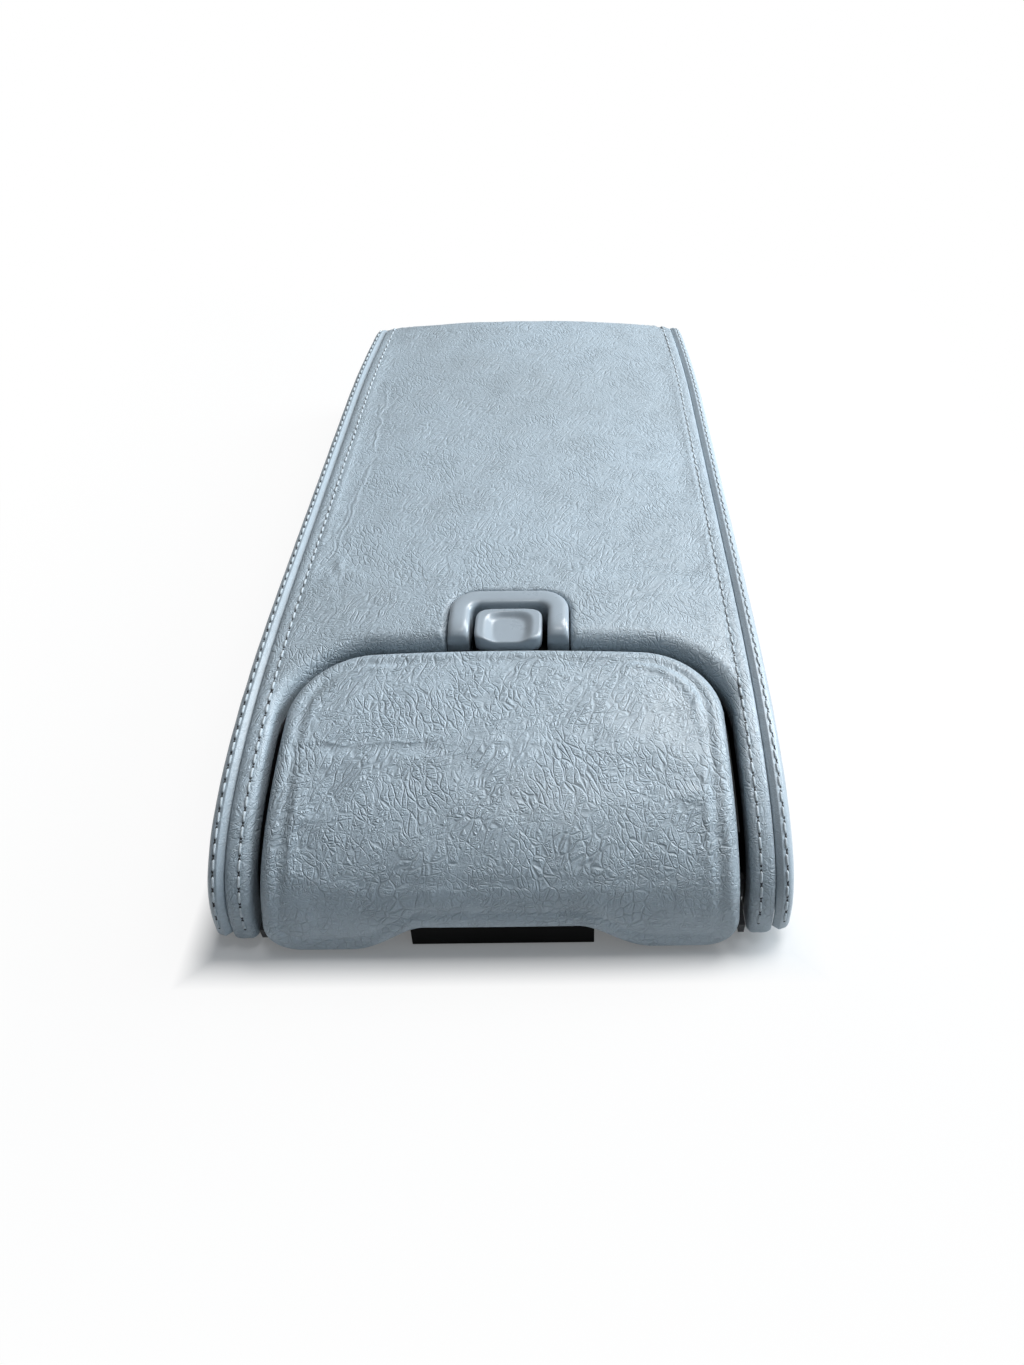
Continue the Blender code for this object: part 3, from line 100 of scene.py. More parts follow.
def grid_faces(rows: int, columns: int, wrap: bool = False) -> Array:
    """Quads of a grid of points stored row by row.

    Args:
        rows: number of rows.
        columns: number of points in a row.
        wrap: whether the last column joins the first.

    Returns:
        An array of four point numbers per face.
    """
    i, j = np.meshgrid(np.arange(rows - 1), np.arange(columns if wrap else columns - 1), indexing="ij")
    k = (j + 1) % columns
    quads = [i * columns + j, i * columns + k, (i + 1) * columns + k, (i + 1) * columns + j]
    return np.stack(quads, axis=-1).reshape(-1, 4)


def make_piece(name: str, points: Array, faces: Array, smooth: bool = True) -> bpy.types.Object:
    """Builds a mesh object at the origin from arrays.

    Args:
        name: the object's name.
        points: (n, 3) places in metres.
        faces: (m, 4) point numbers.
        smooth: whether the faces are shaded smooth.

    Returns:
        The new object, linked to the scene.
    """
    mesh = bpy.data.meshes.new(name)
    count = len(faces)
    mesh.vertices.add(len(points))
    mesh.vertices.foreach_set("co", np.ascontiguousarray(points, dtype=np.float32).ravel())
    mesh.loops.add(count * 4)
    mesh.loops.foreach_set("vertex_index", np.ascontiguousarray(faces, dtype=np.int32).ravel())
    mesh.polygons.add(count)
    mesh.polygons.foreach_set("loop_start", np.arange(0, count * 4, 4, dtype=np.int32))
    mesh.update(calc_edges=True)
    mesh.validate()
    mesh.polygons.foreach_set("use_smooth", np.full(len(mesh.polygons), smooth))
    piece = bpy.data.objects.new(name, mesh)
    bpy.context.scene.collection.objects.link(piece)
    return piece


def clean(piece: bpy.types.Object, outwards: bool = True) -> bpy.types.Object:
    """Merges doubled points, drops faces without area, and turns the faces of a closed piece outwards.

    Args:
        piece: the piece.
        outwards: whether it is closed and its faces are turned outwards.

    Returns:
        The same piece.
    """
    bm = bmesh.new()
    bm.from_mesh(piece.data)
    bmesh.ops.remove_doubles(bm, verts=bm.verts, dist=1e-6)
    bmesh.ops.dissolve_degenerate(bm, edges=bm.edges, dist=1e-7)
    if outwards:
        bmesh.ops.recalc_face_normals(bm, faces=bm.faces)
    bm.to_mesh(piece.data)
    bm.free()
    return piece


def face_towards(piece: bpy.types.Object, way: tuple[float, float, float]) -> bpy.types.Object:
    """Turns all faces of an open sheet round where their mean normal, weighted by area, points against a way.

    Args:
        piece: the sheet.
        way: the direction that its faces should look in.

    Returns:
        The same piece.
    """
    count = len(piece.data.polygons)
    normals, areas = np.empty(count * 3, np.float32), np.empty(count, np.float32)
    piece.data.polygons.foreach_get("normal", normals)
    piece.data.polygons.foreach_get("area", areas)
    if float((normals.reshape(-1, 3) @ np.array(way)) @ areas) < 0:
        piece.data.flip_normals()
    return piece


def thicken(piece: bpy.types.Object, wall: float) -> bpy.types.Object:
    """Gives an open sheet a wall on its inner side.

    Args:
        piece: the sheet.
        wall: the wall's thickness.

    Returns:
        The same piece.
    """
    solid = piece.modifiers.new("wall", "SOLIDIFY")
    solid.thickness = wall
    solid.offset = -1.0
    solid.use_rim = True
    return piece


def closed_tube(rings: Array) -> tuple[Array, Array]:
    """Points and faces of rings joined in order, with each end drawn together into its middle.

    Args:
        rings: (n, k, 3) rings of points, in order.

    Returns:
        The points and the faces of the closed form.
    """
    ends = [np.repeat(rings[i].mean(axis=0)[None, :], rings.shape[1], axis=0) for i in (0, -1)]
    rings = np.concatenate([ends[0][None], rings, ends[1][None]])
    return rings.reshape(-1, 3), grid_faces(rings.shape[0], rings.shape[1], wrap=True)


def rounded_square(angles: Array, half_x: float, half_y: float, power: float) -> Array:
    """Outline |x/a|^p + |y/b|^p = 1 at the given angles, as (n, 2) points.

    Args:
        angles: directions from the middle.
        half_x: half the width.
        half_y: half the length.
        power: 2 for an ellipse, higher for squarer corners.

    Returns:
        The points.
    """
    c, s = np.cos(angles), np.sin(angles)
    reach = (np.abs(c) ** power + np.abs(s) ** power) ** (-1 / power)
    return np.stack([half_x * reach * c, half_y * reach * s], axis=-1)


def rolled_fall(gap: Array, bend: Array) -> Array:
    """Drop of a rolled edge: a quarter circle of the distance to the edge.

    Args:
        gap: distances to the edge.
        bend: the roll's radius.

    Returns:
        How far the surface falls.
    """
    return bend - np.sqrt(np.maximum(0, bend**2 - np.maximum(0, bend - gap) ** 2))


def bell(gap: Array, width: float) -> Array:
    """The Gauss curve of a distance over a width, 1 where the distance is nought."""
    return np.exp(-((gap / width) ** 2))


@dataclass(frozen=True)
class Ripples:
    """Soft irregular relief: a sum of seeded cosine waves with wavelengths round one pitch."""

    pitch: float
    seed: int
    waves: int = 14
    stretch: float = 1.0

    def at(self, x: Array, y: Array) -> Array:
        """Height between about -1 and 1: the mean of cosines of turned, scaled and shifted coordinates.

        Args:
            x: places one way.
            y: places the other way.

        Returns:
            The heights.
        """
        rng = np.random.default_rng(self.seed)
        total = np.zeros(np.broadcast(x, y).shape)
        for _ in range(self.waves):
            angle, phase = rng.uniform(0, math.pi), rng.uniform(0, 2 * math.pi)
            rate = 2 * math.pi / (self.pitch * rng.uniform(0.7, 1.6))
            total += np.cos(rate * (x * math.cos(angle) + y * math.sin(angle) / self.stretch) + phase)
        return total / math.sqrt(self.waves)


def crease(x: Array, y: Array, path: tuple, width: float, depth: float) -> Array:
    """Relief of a crease along a path: a hollow of Gauss section with a soft lip beside it.

    Args:
        x: places across, in metres.
        y: places along, in metres.
        path: the crease's points in millimetres.
        width: width of the hollow.
        depth: depth of the hollow.

    Returns:
        The height to add at each place.
    """
    near = np.full(np.broadcast(x, y).shape, 1e9)
    side = np.zeros_like(near)
    for (ax, ay), (bx, by) in zip(path[:-1], path[1:]):
        ax, ay, bx, by = ax * MM, ay * MM, bx * MM, by * MM
        dx, dy = bx - ax, by - ay
        share = np.clip(((x - ax) * dx + (y - ay) * dy) / (dx * dx + dy * dy), 0, 1)
        gap = np.hypot(x - ax - share * dx, y - ay - share * dy)
        closer = gap < near
        near = np.where(closer, gap, near)
        side = np.where(closer, np.sign((x - ax) * dy - (y - ay) * dx), side)
    lip = 0.55 * bell(near - 1.9 * width, 1.1 * width) * (side > 0)
    return depth * (lip - bell(near, width))


# ---------------------------------------------------------------- the armrest's form


@dataclass(frozen=True)
class Form:
    """Sizes and curves that every cover shares, the same as the CAD model's."""

    front_y: float = -196 * MM
    rear_y: float = 195.5 * MM
    seam_z: float = 49 * MM
    nose_run: float = 155 * MM
    nose_power: float = 3.0
    crown: float = 4.5 * MM
    seam_half_front: float = 90 * MM
    seam_taper: float = 1.7 * MM
    rear_pull: float = 4.2 * MM
    rear_pull_run: float = 100 * MM
    rear_top_radius: float = 13 * MM
    rear_corner_radius: float = 12 * MM
    pad_bottom_z: float = 5 * MM
    seam_depth: float = 1.4 * MM

    def straight_half(self, y: Array) -> Array:
        """Half the distance between the seams without the rear corner: a taper and a quadratic pull-in.

        Args:
            y: places along the armrest.

        Returns:
            The half distances.
        """
        share = (y - self.front_y) / (self.rear_y - self.front_y)
        pull = np.maximum(0.0, (y - (self.rear_y - self.rear_pull_run)) / self.rear_pull_run)
        return self.seam_half_front - self.seam_taper * share - self.rear_pull * pull**2

    def seam_half(self, y: Array) -> Array:
        """Half the distance between the seams: the straight half less a rounded corner at the rear.

        Args:
            y: places along the armrest.

        Returns:
            The half distances.
        """
        corner = np.clip((y - (self.rear_y - self.rear_corner_radius)) / self.rear_corner_radius, 0, 1)
        off = self.rear_corner_radius * (1 - np.sqrt(1 - corner**2))
        return self.straight_half(y) - 0.6 * off

    def nose(self, front_y: float, bottom_z: float, steps: int) -> Array:
        """Superellipse from the flat top down to the tip, as (y, z) points.

        Args:
            front_y: place of the tip.
            bottom_z: height of the tip.
            steps: number of steps.

        Returns:
            The (n, 2) points.
        """
        low = math.asin((bottom_z / self.seam_z) ** (self.nose_power / 2))
        t = np.linspace(math.pi / 2, low, steps + 1)
        y = front_y + self.nose_run * (1 - np.cos(t) ** (2 / self.nose_power))
        return np.stack([y, self.seam_z * np.sin(t) ** (2 / self.nose_power)], axis=1)


class SideCurve:
    """A side curve by arc length from its front end, with its outward normals."""

    def __init__(self, points: Array, count: int = 900) -> None:
        """Spaces the (y, z) points evenly and works out the normals from central differences.

        Args:
            points: (n, 2) points from the front end on.
            count: number of even points.
        """
        length = np.concatenate([[0], np.cumsum(np.linalg.norm(np.diff(points, axis=0), axis=1))])
        self.s = np.linspace(0, length[-1], count)
        self.points = np.stack([np.interp(self.s, length, points[:, k]) for k in (0, 1)], axis=1)
        ahead = np.gradient(self.points, self.s, axis=0)
        kernel = np.hanning(9) / np.hanning(9).sum()
        ahead = np.stack([np.convolve(np.pad(ahead[:, k], 4, "edge"), kernel, "valid") for k in (0, 1)], axis=1)
        normals = np.stack([-ahead[:, 1], ahead[:, 0]], axis=1)
        self.normals = normals / np.linalg.norm(normals, axis=1)[:, None]
        self.total = float(length[-1])

    def at(self, s: Array) -> tuple[Array, Array, Array, Array]:
        """The y, z, normal y and normal z at each arc length.

        Args:
            s: arc lengths.

        Returns:
            The four values at each of them.
        """
        values = [np.interp(s, self.s, self.points[:, k]) for k in (0, 1)]
        normal = [np.interp(s, self.s, self.normals[:, k]) for k in (0, 1)]
        size = np.hypot(*normal)
        return values[0], values[1], normal[0] / size, normal[1] / size

    def length_at(self, y: float) -> float:
        """Arc length where the upper run of the curve passes a place along the armrest."""
        upper = self.points[:, 0] < self.points[:, 0].max() - 14 * MM
        return float(np.interp(y, self.points[upper, 0], self.s[upper]))


def body_curve(form: Form) -> SideCurve:
    """The armrest's side curve, from the front tip over the top to the rear bottom.

    Args:
        form: the shared sizes.

    Returns:
        The side curve.
    """
    nose = form.nose(form.front_y, form.pad_bottom_z, 80)[::-1]
    r = form.rear_top_radius
    angles = np.radians(np.linspace(90, 0, 16))
    corner = np.stack([form.rear_y - r + r * np.cos(angles), form.seam_z - r + r * np.sin(angles)], axis=1)
    bottom = np.array([[form.rear_y, form.pad_bottom_z]])
    return SideCurve(np.concatenate([nose, corner, bottom]))


def lay(curve: SideCurve, x: Array, s: Array, lift: Array) -> Array:
    """Points at a place across, an arc length along, and a lift along the curve's outward normal."""
    y, z, ny, nz = curve.at(s)
    return np.stack(np.broadcast_arrays(x, y + ny * lift, z + nz * lift), axis=-1)


# ---------------------------------------------------------------- cloth simulation


@dataclass(frozen=True)
class Relief:
    """Swelling of a sheet from a cloth simulation, kept as heights on a grid across and along."""

    x: Array
    s: Array
    height: Array

    def at(self, x: Array, s: Array) -> Array:
        """Height at each place, by bilinear interpolation, nought outside the grid.

        Args:
            x: places across.
            s: arc lengths.

        Returns:
            The heights.
        """
        i = np.clip(np.interp(x, self.x, np.arange(len(self.x))), 0, len(self.x) - 1.001)
        j = np.clip(np.interp(s, self.s, np.arange(len(self.s))), 0, len(self.s) - 1.001)
        a, b = i.astype(int), j.astype(int)
        u, v = i - a, j - b
        h = self.height
        low = h[b, a] * (1 - u) + h[b, a + 1] * u
        return low * (1 - v) + (h[b + 1, a] * (1 - u) + h[b + 1, a + 1] * u) * v


@dataclass(frozen=True)
class ClothRun:
    """One run of Blender's Cloth on a leather sheet held round its border."""

    pressure: float = 4.0
    growth: float = 0.012
    cap: float = 1.2 * MM
    frames: int = 20
    seed: int = 3

    def run(self, curve: SideCurve, x: Array, s: Array, lift: Callable[[Array, Array], Array]) -> Relief:
        """Simulates the sheet and reads how far each point moved along the outward normal.

        Args:
            curve: the side curve the sheet lies on.
            x: places across.
            s: arc lengths.
            lift: height of the sheet at rest.

        Returns:
            The moves along the normal, held within the cap and fading to nought at the border.
        """
        grid_x, grid_s = np.meshgrid(x, s)
        rng = np.random.default_rng(self.seed)
        rest = lay(curve, grid_x, grid_s, lift(grid_x, grid_s))
        start = rest + rng.normal(0, 0.02 * MM, rest.shape)
        piece = make_piece("cloth_trial", start.reshape(-1, 3), grid_faces(len(s), len(x))[:, ::-1])
        edge = np.zeros(grid_x.shape, bool)
        edge[:2], edge[-2:], edge[:, :2], edge[:, -2:] = True, True, True, True
        group = piece.vertex_groups.new(name="held")
        group.add(np.flatnonzero(edge.ravel()).tolist(), 1.0, "REPLACE")
        cloth = piece.modifiers.new("cloth", "CLOTH")
        settings = {
            "quality": 6, "mass": 0.15, "tension_stiffness": 12, "compression_stiffness": 12,
            "shear_stiffness": 6, "bending_stiffness": 0.4, "use_pressure": True,
            "uniform_pressure_force": self.pressure, "shrink_min": -self.growth, "vertex_group_mass": "held"}
        for key, value in settings.items():
            setattr(cloth.settings, key, value)
        cloth.settings.effector_weights.gravity = 0.0
        cloth.collision_settings.use_collision = False
        cloth.point_cache.frame_end = self.frames
        scene = bpy.context.scene
        for frame in range(1, self.frames + 1):
            scene.frame_set(frame)
        solved = piece.evaluated_get(bpy.context.evaluated_depsgraph_get())
        moved = np.empty(len(solved.data.vertices) * 3, np.float32)
        solved.data.vertices.foreach_get("co", moved)
        scene.frame_set(1)
        bpy.data.objects.remove(piece, do_unlink=True)
        shift = moved.reshape(rest.shape) - rest
        _, _, ny, nz = curve.at(grid_s)
        height = np.nan_to_num(shift[..., 1] * ny + shift[..., 2] * nz)
        log.info("cloth moved %.2f to %.2f mm", height.min() / MM, height.max() / MM)
        return Relief(x, s, self.cap * np.tanh(height / self.cap))


# ---------------------------------------------------------------- shader groups


class Nodes:
    """A node tree with short calls for adding and linking nodes."""

    def __init__(self, tree: bpy.types.NodeTree) -> None:
        """Keeps the tree and starts with no nodes placed."""
        self.tree = tree
        self.count = 0

    def add(self, kind: str, inputs: dict | None = None, **settings: object) -> bpy.types.Node:
        """Adds a node.

        Args:
            kind: the node's type name.
            inputs: a value or an output socket for each named or numbered input.
            settings: properties of the node.

        Returns:
            The new node.
        """
        node = self.tree.nodes.new(kind)
        node.location = (self.count * 180, 0)
        self.count += 1
        for key, value in settings.items():
            setattr(node, key, value)
        self.feed(node, inputs or {})
        return node

    def feed(self, node: bpy.types.Node, inputs: dict) -> None:
        """Links an output socket to, or sets a value on, each named or numbered input of a node.

        Args:
            node: the node.
            inputs: a socket or a value for each input.
        """
        for key, value in inputs.items():
            if isinstance(value, bpy.types.NodeSocket):
                self.tree.links.new(value, node.inputs[key])
            else:
                node.inputs[key].default_value = value

    def math(self, operation: str, a: object, b: object = 0.0, clamp: bool = False) -> bpy.types.NodeSocket:
        """A sum, product or other operation on two values."""
        return self.add("ShaderNodeMath", {0: a, 1: b}, operation=operation, use_clamp=clamp).outputs[0]

    def plus(self, a: object, b: object, clamp: bool = False) -> bpy.types.NodeSocket:
        """The sum of two values."""
        return self.math("ADD", a, b, clamp)

    def minus(self, a: object, b: object) -> bpy.types.NodeSocket:
        """The difference of two values."""
        return self.math("SUBTRACT", a, b)

    def times(self, a: object, b: object, clamp: bool = False) -> bpy.types.NodeSocket:
        """The product of two values."""
        return self.math("MULTIPLY", a, b, clamp)

    def noise(self, place: object, scale: object, detail: float = 2.0, roughness: float = 0.5,
              distortion: float = 0.0) -> bpy.types.Node:
        """A noise texture with so many features per metre.

        Args:
            place: coordinates.
            scale: features per metre.
            detail: octaves.
            roughness: share of each finer octave.
            distortion: how far it is bent.

        Returns:
            The noise node.
        """
        return self.add("ShaderNodeTexNoise", {"Vector": place, "Scale": scale, "Detail": detail,
                                               "Roughness": roughness, "Distortion": distortion})

    def leant(self, place: object, turn: float, stretch: float) -> bpy.types.NodeSocket:
        """Coordinates turned about Z and then stretched along the turned Y."""
        inputs = {"Vector": place, "Rotation": (0.0, 0.0, turn), "Scale": (1.0, stretch, 1.0)}
        return self.add("ShaderNodeMapping", inputs, vector_type="TEXTURE").outputs[0]

    def span(self, value: object, low: float, high: float, to_low: float, to_high: float,
             kind: str = "LINEAR") -> bpy.types.NodeSocket:
        """Carries a value from one range to another and holds it there.

        Args:
            value: the value.
            low: start of its range.
            high: end of its range.
            to_low: start of the new range.
            to_high: end of the new range.
            kind: how it goes from one end to the other.

        Returns:
            The new value.
        """
        inputs = {"Value": value, "From Min": low, "From Max": high, "To Min": to_low, "To Max": to_high}
        return self.add("ShaderNodeMapRange", inputs, interpolation_type=kind).outputs["Result"]

    def mix(self, share: object, a: object, b: object) -> bpy.types.NodeSocket:
        """Mixes two colours."""
        return self.add("ShaderNodeMix", {0: share, 6: a, 7: b}, data_type="RGBA").outputs[2]


def new_group(name: str, inputs: dict, outputs: dict) -> tuple[Nodes, bpy.types.Node, bpy.types.Node]:
    """Starts a shader node group.

    Args:
        name: the group's name.
        inputs: kind and default of each input socket.
        outputs: kind of each output socket.

    Returns:
        The group's nodes, its input node and its output node.
    """
    tree = bpy.data.node_groups.new(name, "ShaderNodeTree")
    for key, (kind, default) in inputs.items():
        socket = tree.interface.new_socket(key, in_out="INPUT", socket_type=f"NodeSocket{kind}")
        if default is not None:
            socket.default_value = default
    for key, kind in outputs.items():
        tree.interface.new_socket(key, in_out="OUTPUT", socket_type=f"NodeSocket{kind}")
    nodes = Nodes(tree)
    return nodes, nodes.add("NodeGroupInput"), nodes.add("NodeGroupOutput")


def hide_grain_group() -> bpy.types.NodeTree:
    """Grain of split hide: plump pebbles between fine furrows, with long creases and slack laid over them.

    The furrows are the borders of four layers of cells in space bent by noise. The cells are stretched, each
    layer's another way, so that their borders run together at sharp angles. Slow noise decides which of the
    layers are the deeper. The slack is ridges of noise along one diagonal.
    """
    inputs = {
        "Vector": ("Vector", None),
        "Cells per metre": ("Float", 520.0),
        "Wrinkles per metre": ("Float", 60.0),
        "Wrinkle share": ("Float", 0.5),
    }
    nodes, given, out = new_group("hide_grain", inputs, {"Height": "Float", "Furrow": "Float"})
    place, cells = given.outputs["Vector"], given.outputs["Cells per metre"]
    waver = nodes.noise(place, 120.0, 1.5)
    off = nodes.add("ShaderNodeVectorMath", {0: waver.outputs["Color"], 1: (0.5, 0.5, 0.5)}, operation="SUBTRACT")
    push = nodes.add("ShaderNodeVectorMath", {0: off.outputs[0], "Scale": 0.0045}, operation="SCALE")
    bent = nodes.add("ShaderNodeVectorMath", {0: place, 1: push.outputs[0]}, operation="ADD").outputs[0]
    layers = []
    for turn, long, size, wide in ((-0.5, 5.0, 0.62, 0.2), (0.35, 4.0, 0.75, 0.2), (-1.1, 2.5, 0.95, 0.2),
                                   (0.0, 1.25, 1.7, 0.24)):
        spots = {"Vector": nodes.leant(bent, turn, long), "Scale": nodes.times(cells, size)}
        edge = nodes.add("ShaderNodeTexVoronoi", spots, feature="DISTANCE_TO_EDGE")
        layers.append(nodes.span(edge.outputs["Distance"], 0.0, wide, 1.0, 0.0, "SMOOTHSTEP"))
    patches = nodes.noise(place, 42.0)
    others = nodes.noise(place, 55.0, distortion=1.0)
    one = nodes.span(patches.outputs["Fac"], 0.38, 0.62, 0.3, 1.0)
    two = nodes.span(others.outputs["Fac"], 0.38, 0.62, 0.4, 0.9)
    weights = (one, nodes.minus(1.3, one), two, 0.45)
    furrow = nodes.times(layers[0], weights[0])
    for layer, weight in zip(layers[1:], weights[1:]):
        furrow = nodes.math("MAXIMUM", furrow, nodes.times(layer, weight))
    pebble = nodes.noise(bent, 1500.0)
    slack = nodes.noise(nodes.leant(place, -0.6, 3.0), given.outputs["Wrinkles per metre"], 4.0, 0.55, 0.4)
    ridge = nodes.math("ABSOLUTE", nodes.minus(slack.outputs["Fac"], 0.5))
    wrinkle = nodes.span(ridge, 0.0, 0.05, 1.0, 0.0)
    height = nodes.minus(nodes.times(pebble.outputs["Fac"], 0.3), nodes.times(furrow, 0.8))
    height = nodes.minus(height, nodes.times(wrinkle, given.outputs["Wrinkle share"]))
    nodes.feed(out, {"Height": height, "Furrow": furrow})
    return nodes.tree


def crease_line_group() -> bpy.types.NodeTree:
    """A thin wavering crease along a straight run: a Gauss section round a line that noise bends.

    Along is the coordinate that the crease follows and Across the other one. The line's place goes evenly
    from First to Last, and both ends fade out.
    """
    inputs = {key: ("Float", 0.0) for key in ("Along", "Across", "Start", "End", "First", "Last")}
    inputs = {"Vector": ("Vector", None), **inputs, "Width": ("Float", 0.0007)}
    nodes, given, out = new_group("crease_line", inputs, {"Line": "Float"})
    g = given.outputs
    size = nodes.minus(g["End"], g["Start"])
    share = nodes.math("DIVIDE", nodes.minus(g["Along"], g["Start"]), size, clamp=True)
    line = nodes.plus(g["First"], nodes.times(share, nodes.minus(g["Last"], g["First"])))
    waver = nodes.noise(g["Vector"], 75.0, 1.5).outputs["Fac"]
    bend = nodes.times(nodes.minus(waver, 0.5), 0.007)
    part = nodes.math("DIVIDE", nodes.minus(nodes.minus(g["Across"], line), bend), g["Width"])
    section = nodes.math("POWER", math.e, nodes.times(nodes.times(part, part), -1.0))
    ends = nodes.times(nodes.span(share, 0.0, 0.15, 0.0, 1.0), nodes.span(share, 0.85, 1.0, 1.0, 0.0))
    broken = nodes.span(waver, 0.32, 0.46, 0.35, 1.0)
    nodes.feed(out, {"Line": nodes.times(nodes.times(section, ends), broken)})
    return nodes.tree


def tone_drift_group() -> bpy.types.NodeTree:
    """Slow drift of a colour towards a second one, with a fine mottle: two noises of different sizes."""
    inputs = {
        "Vector": ("Vector", None),
        "Base": ("Color", (0.5, 0.5, 0.5, 1)),
        "Other": ("Color", (0.4, 0.4, 0.4, 1)),
        "Patches per metre": ("Float", 14.0),
        "Amount": ("Float", 0.5),
    }
    nodes, given, out = new_group("tone_drift", inputs, {"Color": "Color"})
    g = given.outputs
    wide, fine = nodes.noise(g["Vector"], g["Patches per metre"], 3.0), nodes.noise(g["Vector"], 420.0)
    patch = nodes.span(wide.outputs["Fac"], 0.35, 0.68, 0.0, 1.0)
    mottle = nodes.span(fine.outputs["Fac"], 0.3, 0.7, 0.0, 0.35)
    share = nodes.times(nodes.plus(patch, mottle), g["Amount"], clamp=True)
    nodes.feed(out, {"Color": nodes.mix(share, g["Base"], g["Other"])})
    return nodes.tree


def fine_grit_group() -> bpy.types.NodeTree:
    """Fine surface of moulded plastic and plated metal: a pebbled height and a slightly uneven roughness."""
    inputs = {"Vector": ("Vector", None), "Grains per metre": ("Float", 2500.0), "Roughness": ("Float", 0.4)}
    nodes, given, out = new_group("fine_grit", inputs, {"Height": "Float", "Roughness": "Float"})
    place = given.outputs["Vector"]
    grain = nodes.add("ShaderNodeTexVoronoi", {"Vector": place, "Scale": given.outputs["Grains per metre"]})
    smear = nodes.noise(place, 90.0, 5.0, 0.7)
    uneven = nodes.span(smear.outputs["Fac"], 0.3, 0.7, -0.06, 0.07)
    rough = nodes.plus(given.outputs["Roughness"], uneven, clamp=True)
    nodes.feed(out, {"Height": grain.outputs["Distance"], "Roughness": rough})
    return nodes.tree


@dataclass
class Groups:
    """The shader node groups, each built once."""

    grain: bpy.types.NodeTree = field(default_factory=hide_grain_group)
    drift: bpy.types.NodeTree = field(default_factory=tone_drift_group)
    grit: bpy.types.NodeTree = field(default_factory=fine_grit_group)
    line: bpy.types.NodeTree = field(default_factory=crease_line_group)


# ---------------------------------------------------------------- finishes


def start_material(name: str) -> tuple[bpy.types.Material, Nodes, bpy.types.Node, bpy.types.NodeSocket]:
    """A new material with its tree, its Principled shader and Object coordinates.

    Args:
        name: the material's name.

    Returns:
        The material, its nodes, its shader and its Object coordinates.
    """
    material = bpy.data.materials.new(name)
    material.use_nodes = True
    material.node_tree.nodes.clear()
    nodes = Nodes(material.node_tree)
    shader = nodes.add("ShaderNodeBsdfPrincipled")
    nodes.add("ShaderNodeOutputMaterial", {"Surface": shader.outputs["BSDF"]})
    place = nodes.add("ShaderNodeTexCoord").outputs["Object"]
    return material, nodes, shader, place


@dataclass(frozen=True)
class Hide:
    """Coated leather over foam."""

    name: str
    colour: tuple[float, float, float]
    shade: tuple[float, float, float]
    cells: float = 520.0
    wrinkles: float = 55.0
    wrinkle_share: float = 0.5
    depth: float = 0.5 * MM
    roughness: float = 0.4
    creases: tuple = ()
    # Share of painted shade in the grain's furrows.
    furrow_painted_shade: float = 0.26
    furrow_dull: float = 0.16

    def build(self, groups: Groups) -> bpy.types.Material:
        """Grain, wrinkles and creases as bump, with painted shade and a duller roughness in the furrows, and a slow
        drift of tone.

        Each crease is the axis it follows, where it starts and ends, its place there, its width and its height.

        Args:
            groups: the shader node groups.

        Returns:
            The material.
        """
        material, nodes, shader, place = start_material(self.name)
        grain = nodes.add("ShaderNodeGroup", {
            "Vector": place, "Cells per metre": self.cells, "Wrinkles per metre": self.wrinkles,
            "Wrinkle share": self.wrinkle_share}, node_tree=groups.grain)
        drift = nodes.add("ShaderNodeGroup", {
            "Vector": place, "Base": (*self.colour, 1), "Other": (*self.shade, 1), "Amount": 0.5},
            node_tree=groups.drift)
        furrow, height = grain.outputs["Furrow"], grain.outputs["Height"]
        # Painted shade: the colour darkens in the grain's furrows, towards half the shade tone.
        dark = nodes.times(furrow, self.furrow_painted_shade)
        colour = nodes.mix(dark, drift.outputs["Color"], (*[c * 0.5 for c in self.shade], 1))
        rough = nodes.span(furrow, 0.0, 1.0, self.roughness, self.roughness + self.furrow_dull)
        axes = nodes.add("ShaderNodeSeparateXYZ", {0: place}).outputs
        for axis, start, end, first, last, width, rise in self.creases:
            line = nodes.add("ShaderNodeGroup", {
                "Vector": place, "Along": axes[axis], "Across": axes[1 - axis], "Start": start * MM,
                "End": end * MM, "First": first * MM, "Last": last * MM, "Width": width * MM},
                node_tree=groups.line)
            height = nodes.plus(height, nodes.times(line.outputs[0], rise))
        bump = nodes.add("ShaderNodeBump", {"Height": height, "Distance": self.depth, "Strength": 0.9})
        nodes.feed(shader, {
            "Base Color": colour, "Roughness": rough, "Normal": bump.outputs["Normal"],
            "Specular IOR Level": 0.55, "Coat Weight": 0.22, "Coat Roughness": 0.24})
        return material


@dataclass(frozen=True)
class Moulded:
    """Moulded plastic or rubber, from satin to gloss."""

    name: str
    colour: tuple[float, float, float]
    other: tuple[float, float, float]
    roughness: float
    grain: float = 2500.0
    depth: float = 0.02 * MM
    coat: float = 0.0
    metallic: float = 0.0
    specular: float = 0.5

    def build(self, groups: Groups) -> bpy.types.Material:
        """A drifting tone, an uneven roughness and the mould's fine grain as bump.

        Args:
            groups: the shader node groups.

        Returns:
            The material.
        """
        material, nodes, shader, place = start_material(self.name)
        drift = nodes.add("ShaderNodeGroup", {
            "Vector": place, "Base": (*self.colour, 1), "Other": (*self.other, 1),
            "Patches per metre": 45.0, "Amount": 0.5}, node_tree=groups.drift)
        grit = nodes.add("ShaderNodeGroup", {
            "Vector": place, "Grains per metre": self.grain, "Roughness": self.roughness}, node_tree=groups.grit)
        relief = {"Height": grit.outputs["Height"], "Distance": self.depth, "Strength": 0.5}
        bump = nodes.add("ShaderNodeBump", relief)
        nodes.feed(shader, {
            "Base Color": drift.outputs["Color"], "Roughness": grit.outputs["Roughness"],
            "Normal": bump.outputs["Normal"], "Metallic": self.metallic, "Specular IOR Level": self.specular,
            "Coat Weight": self.coat, "Coat Roughness": 0.08})
        return material


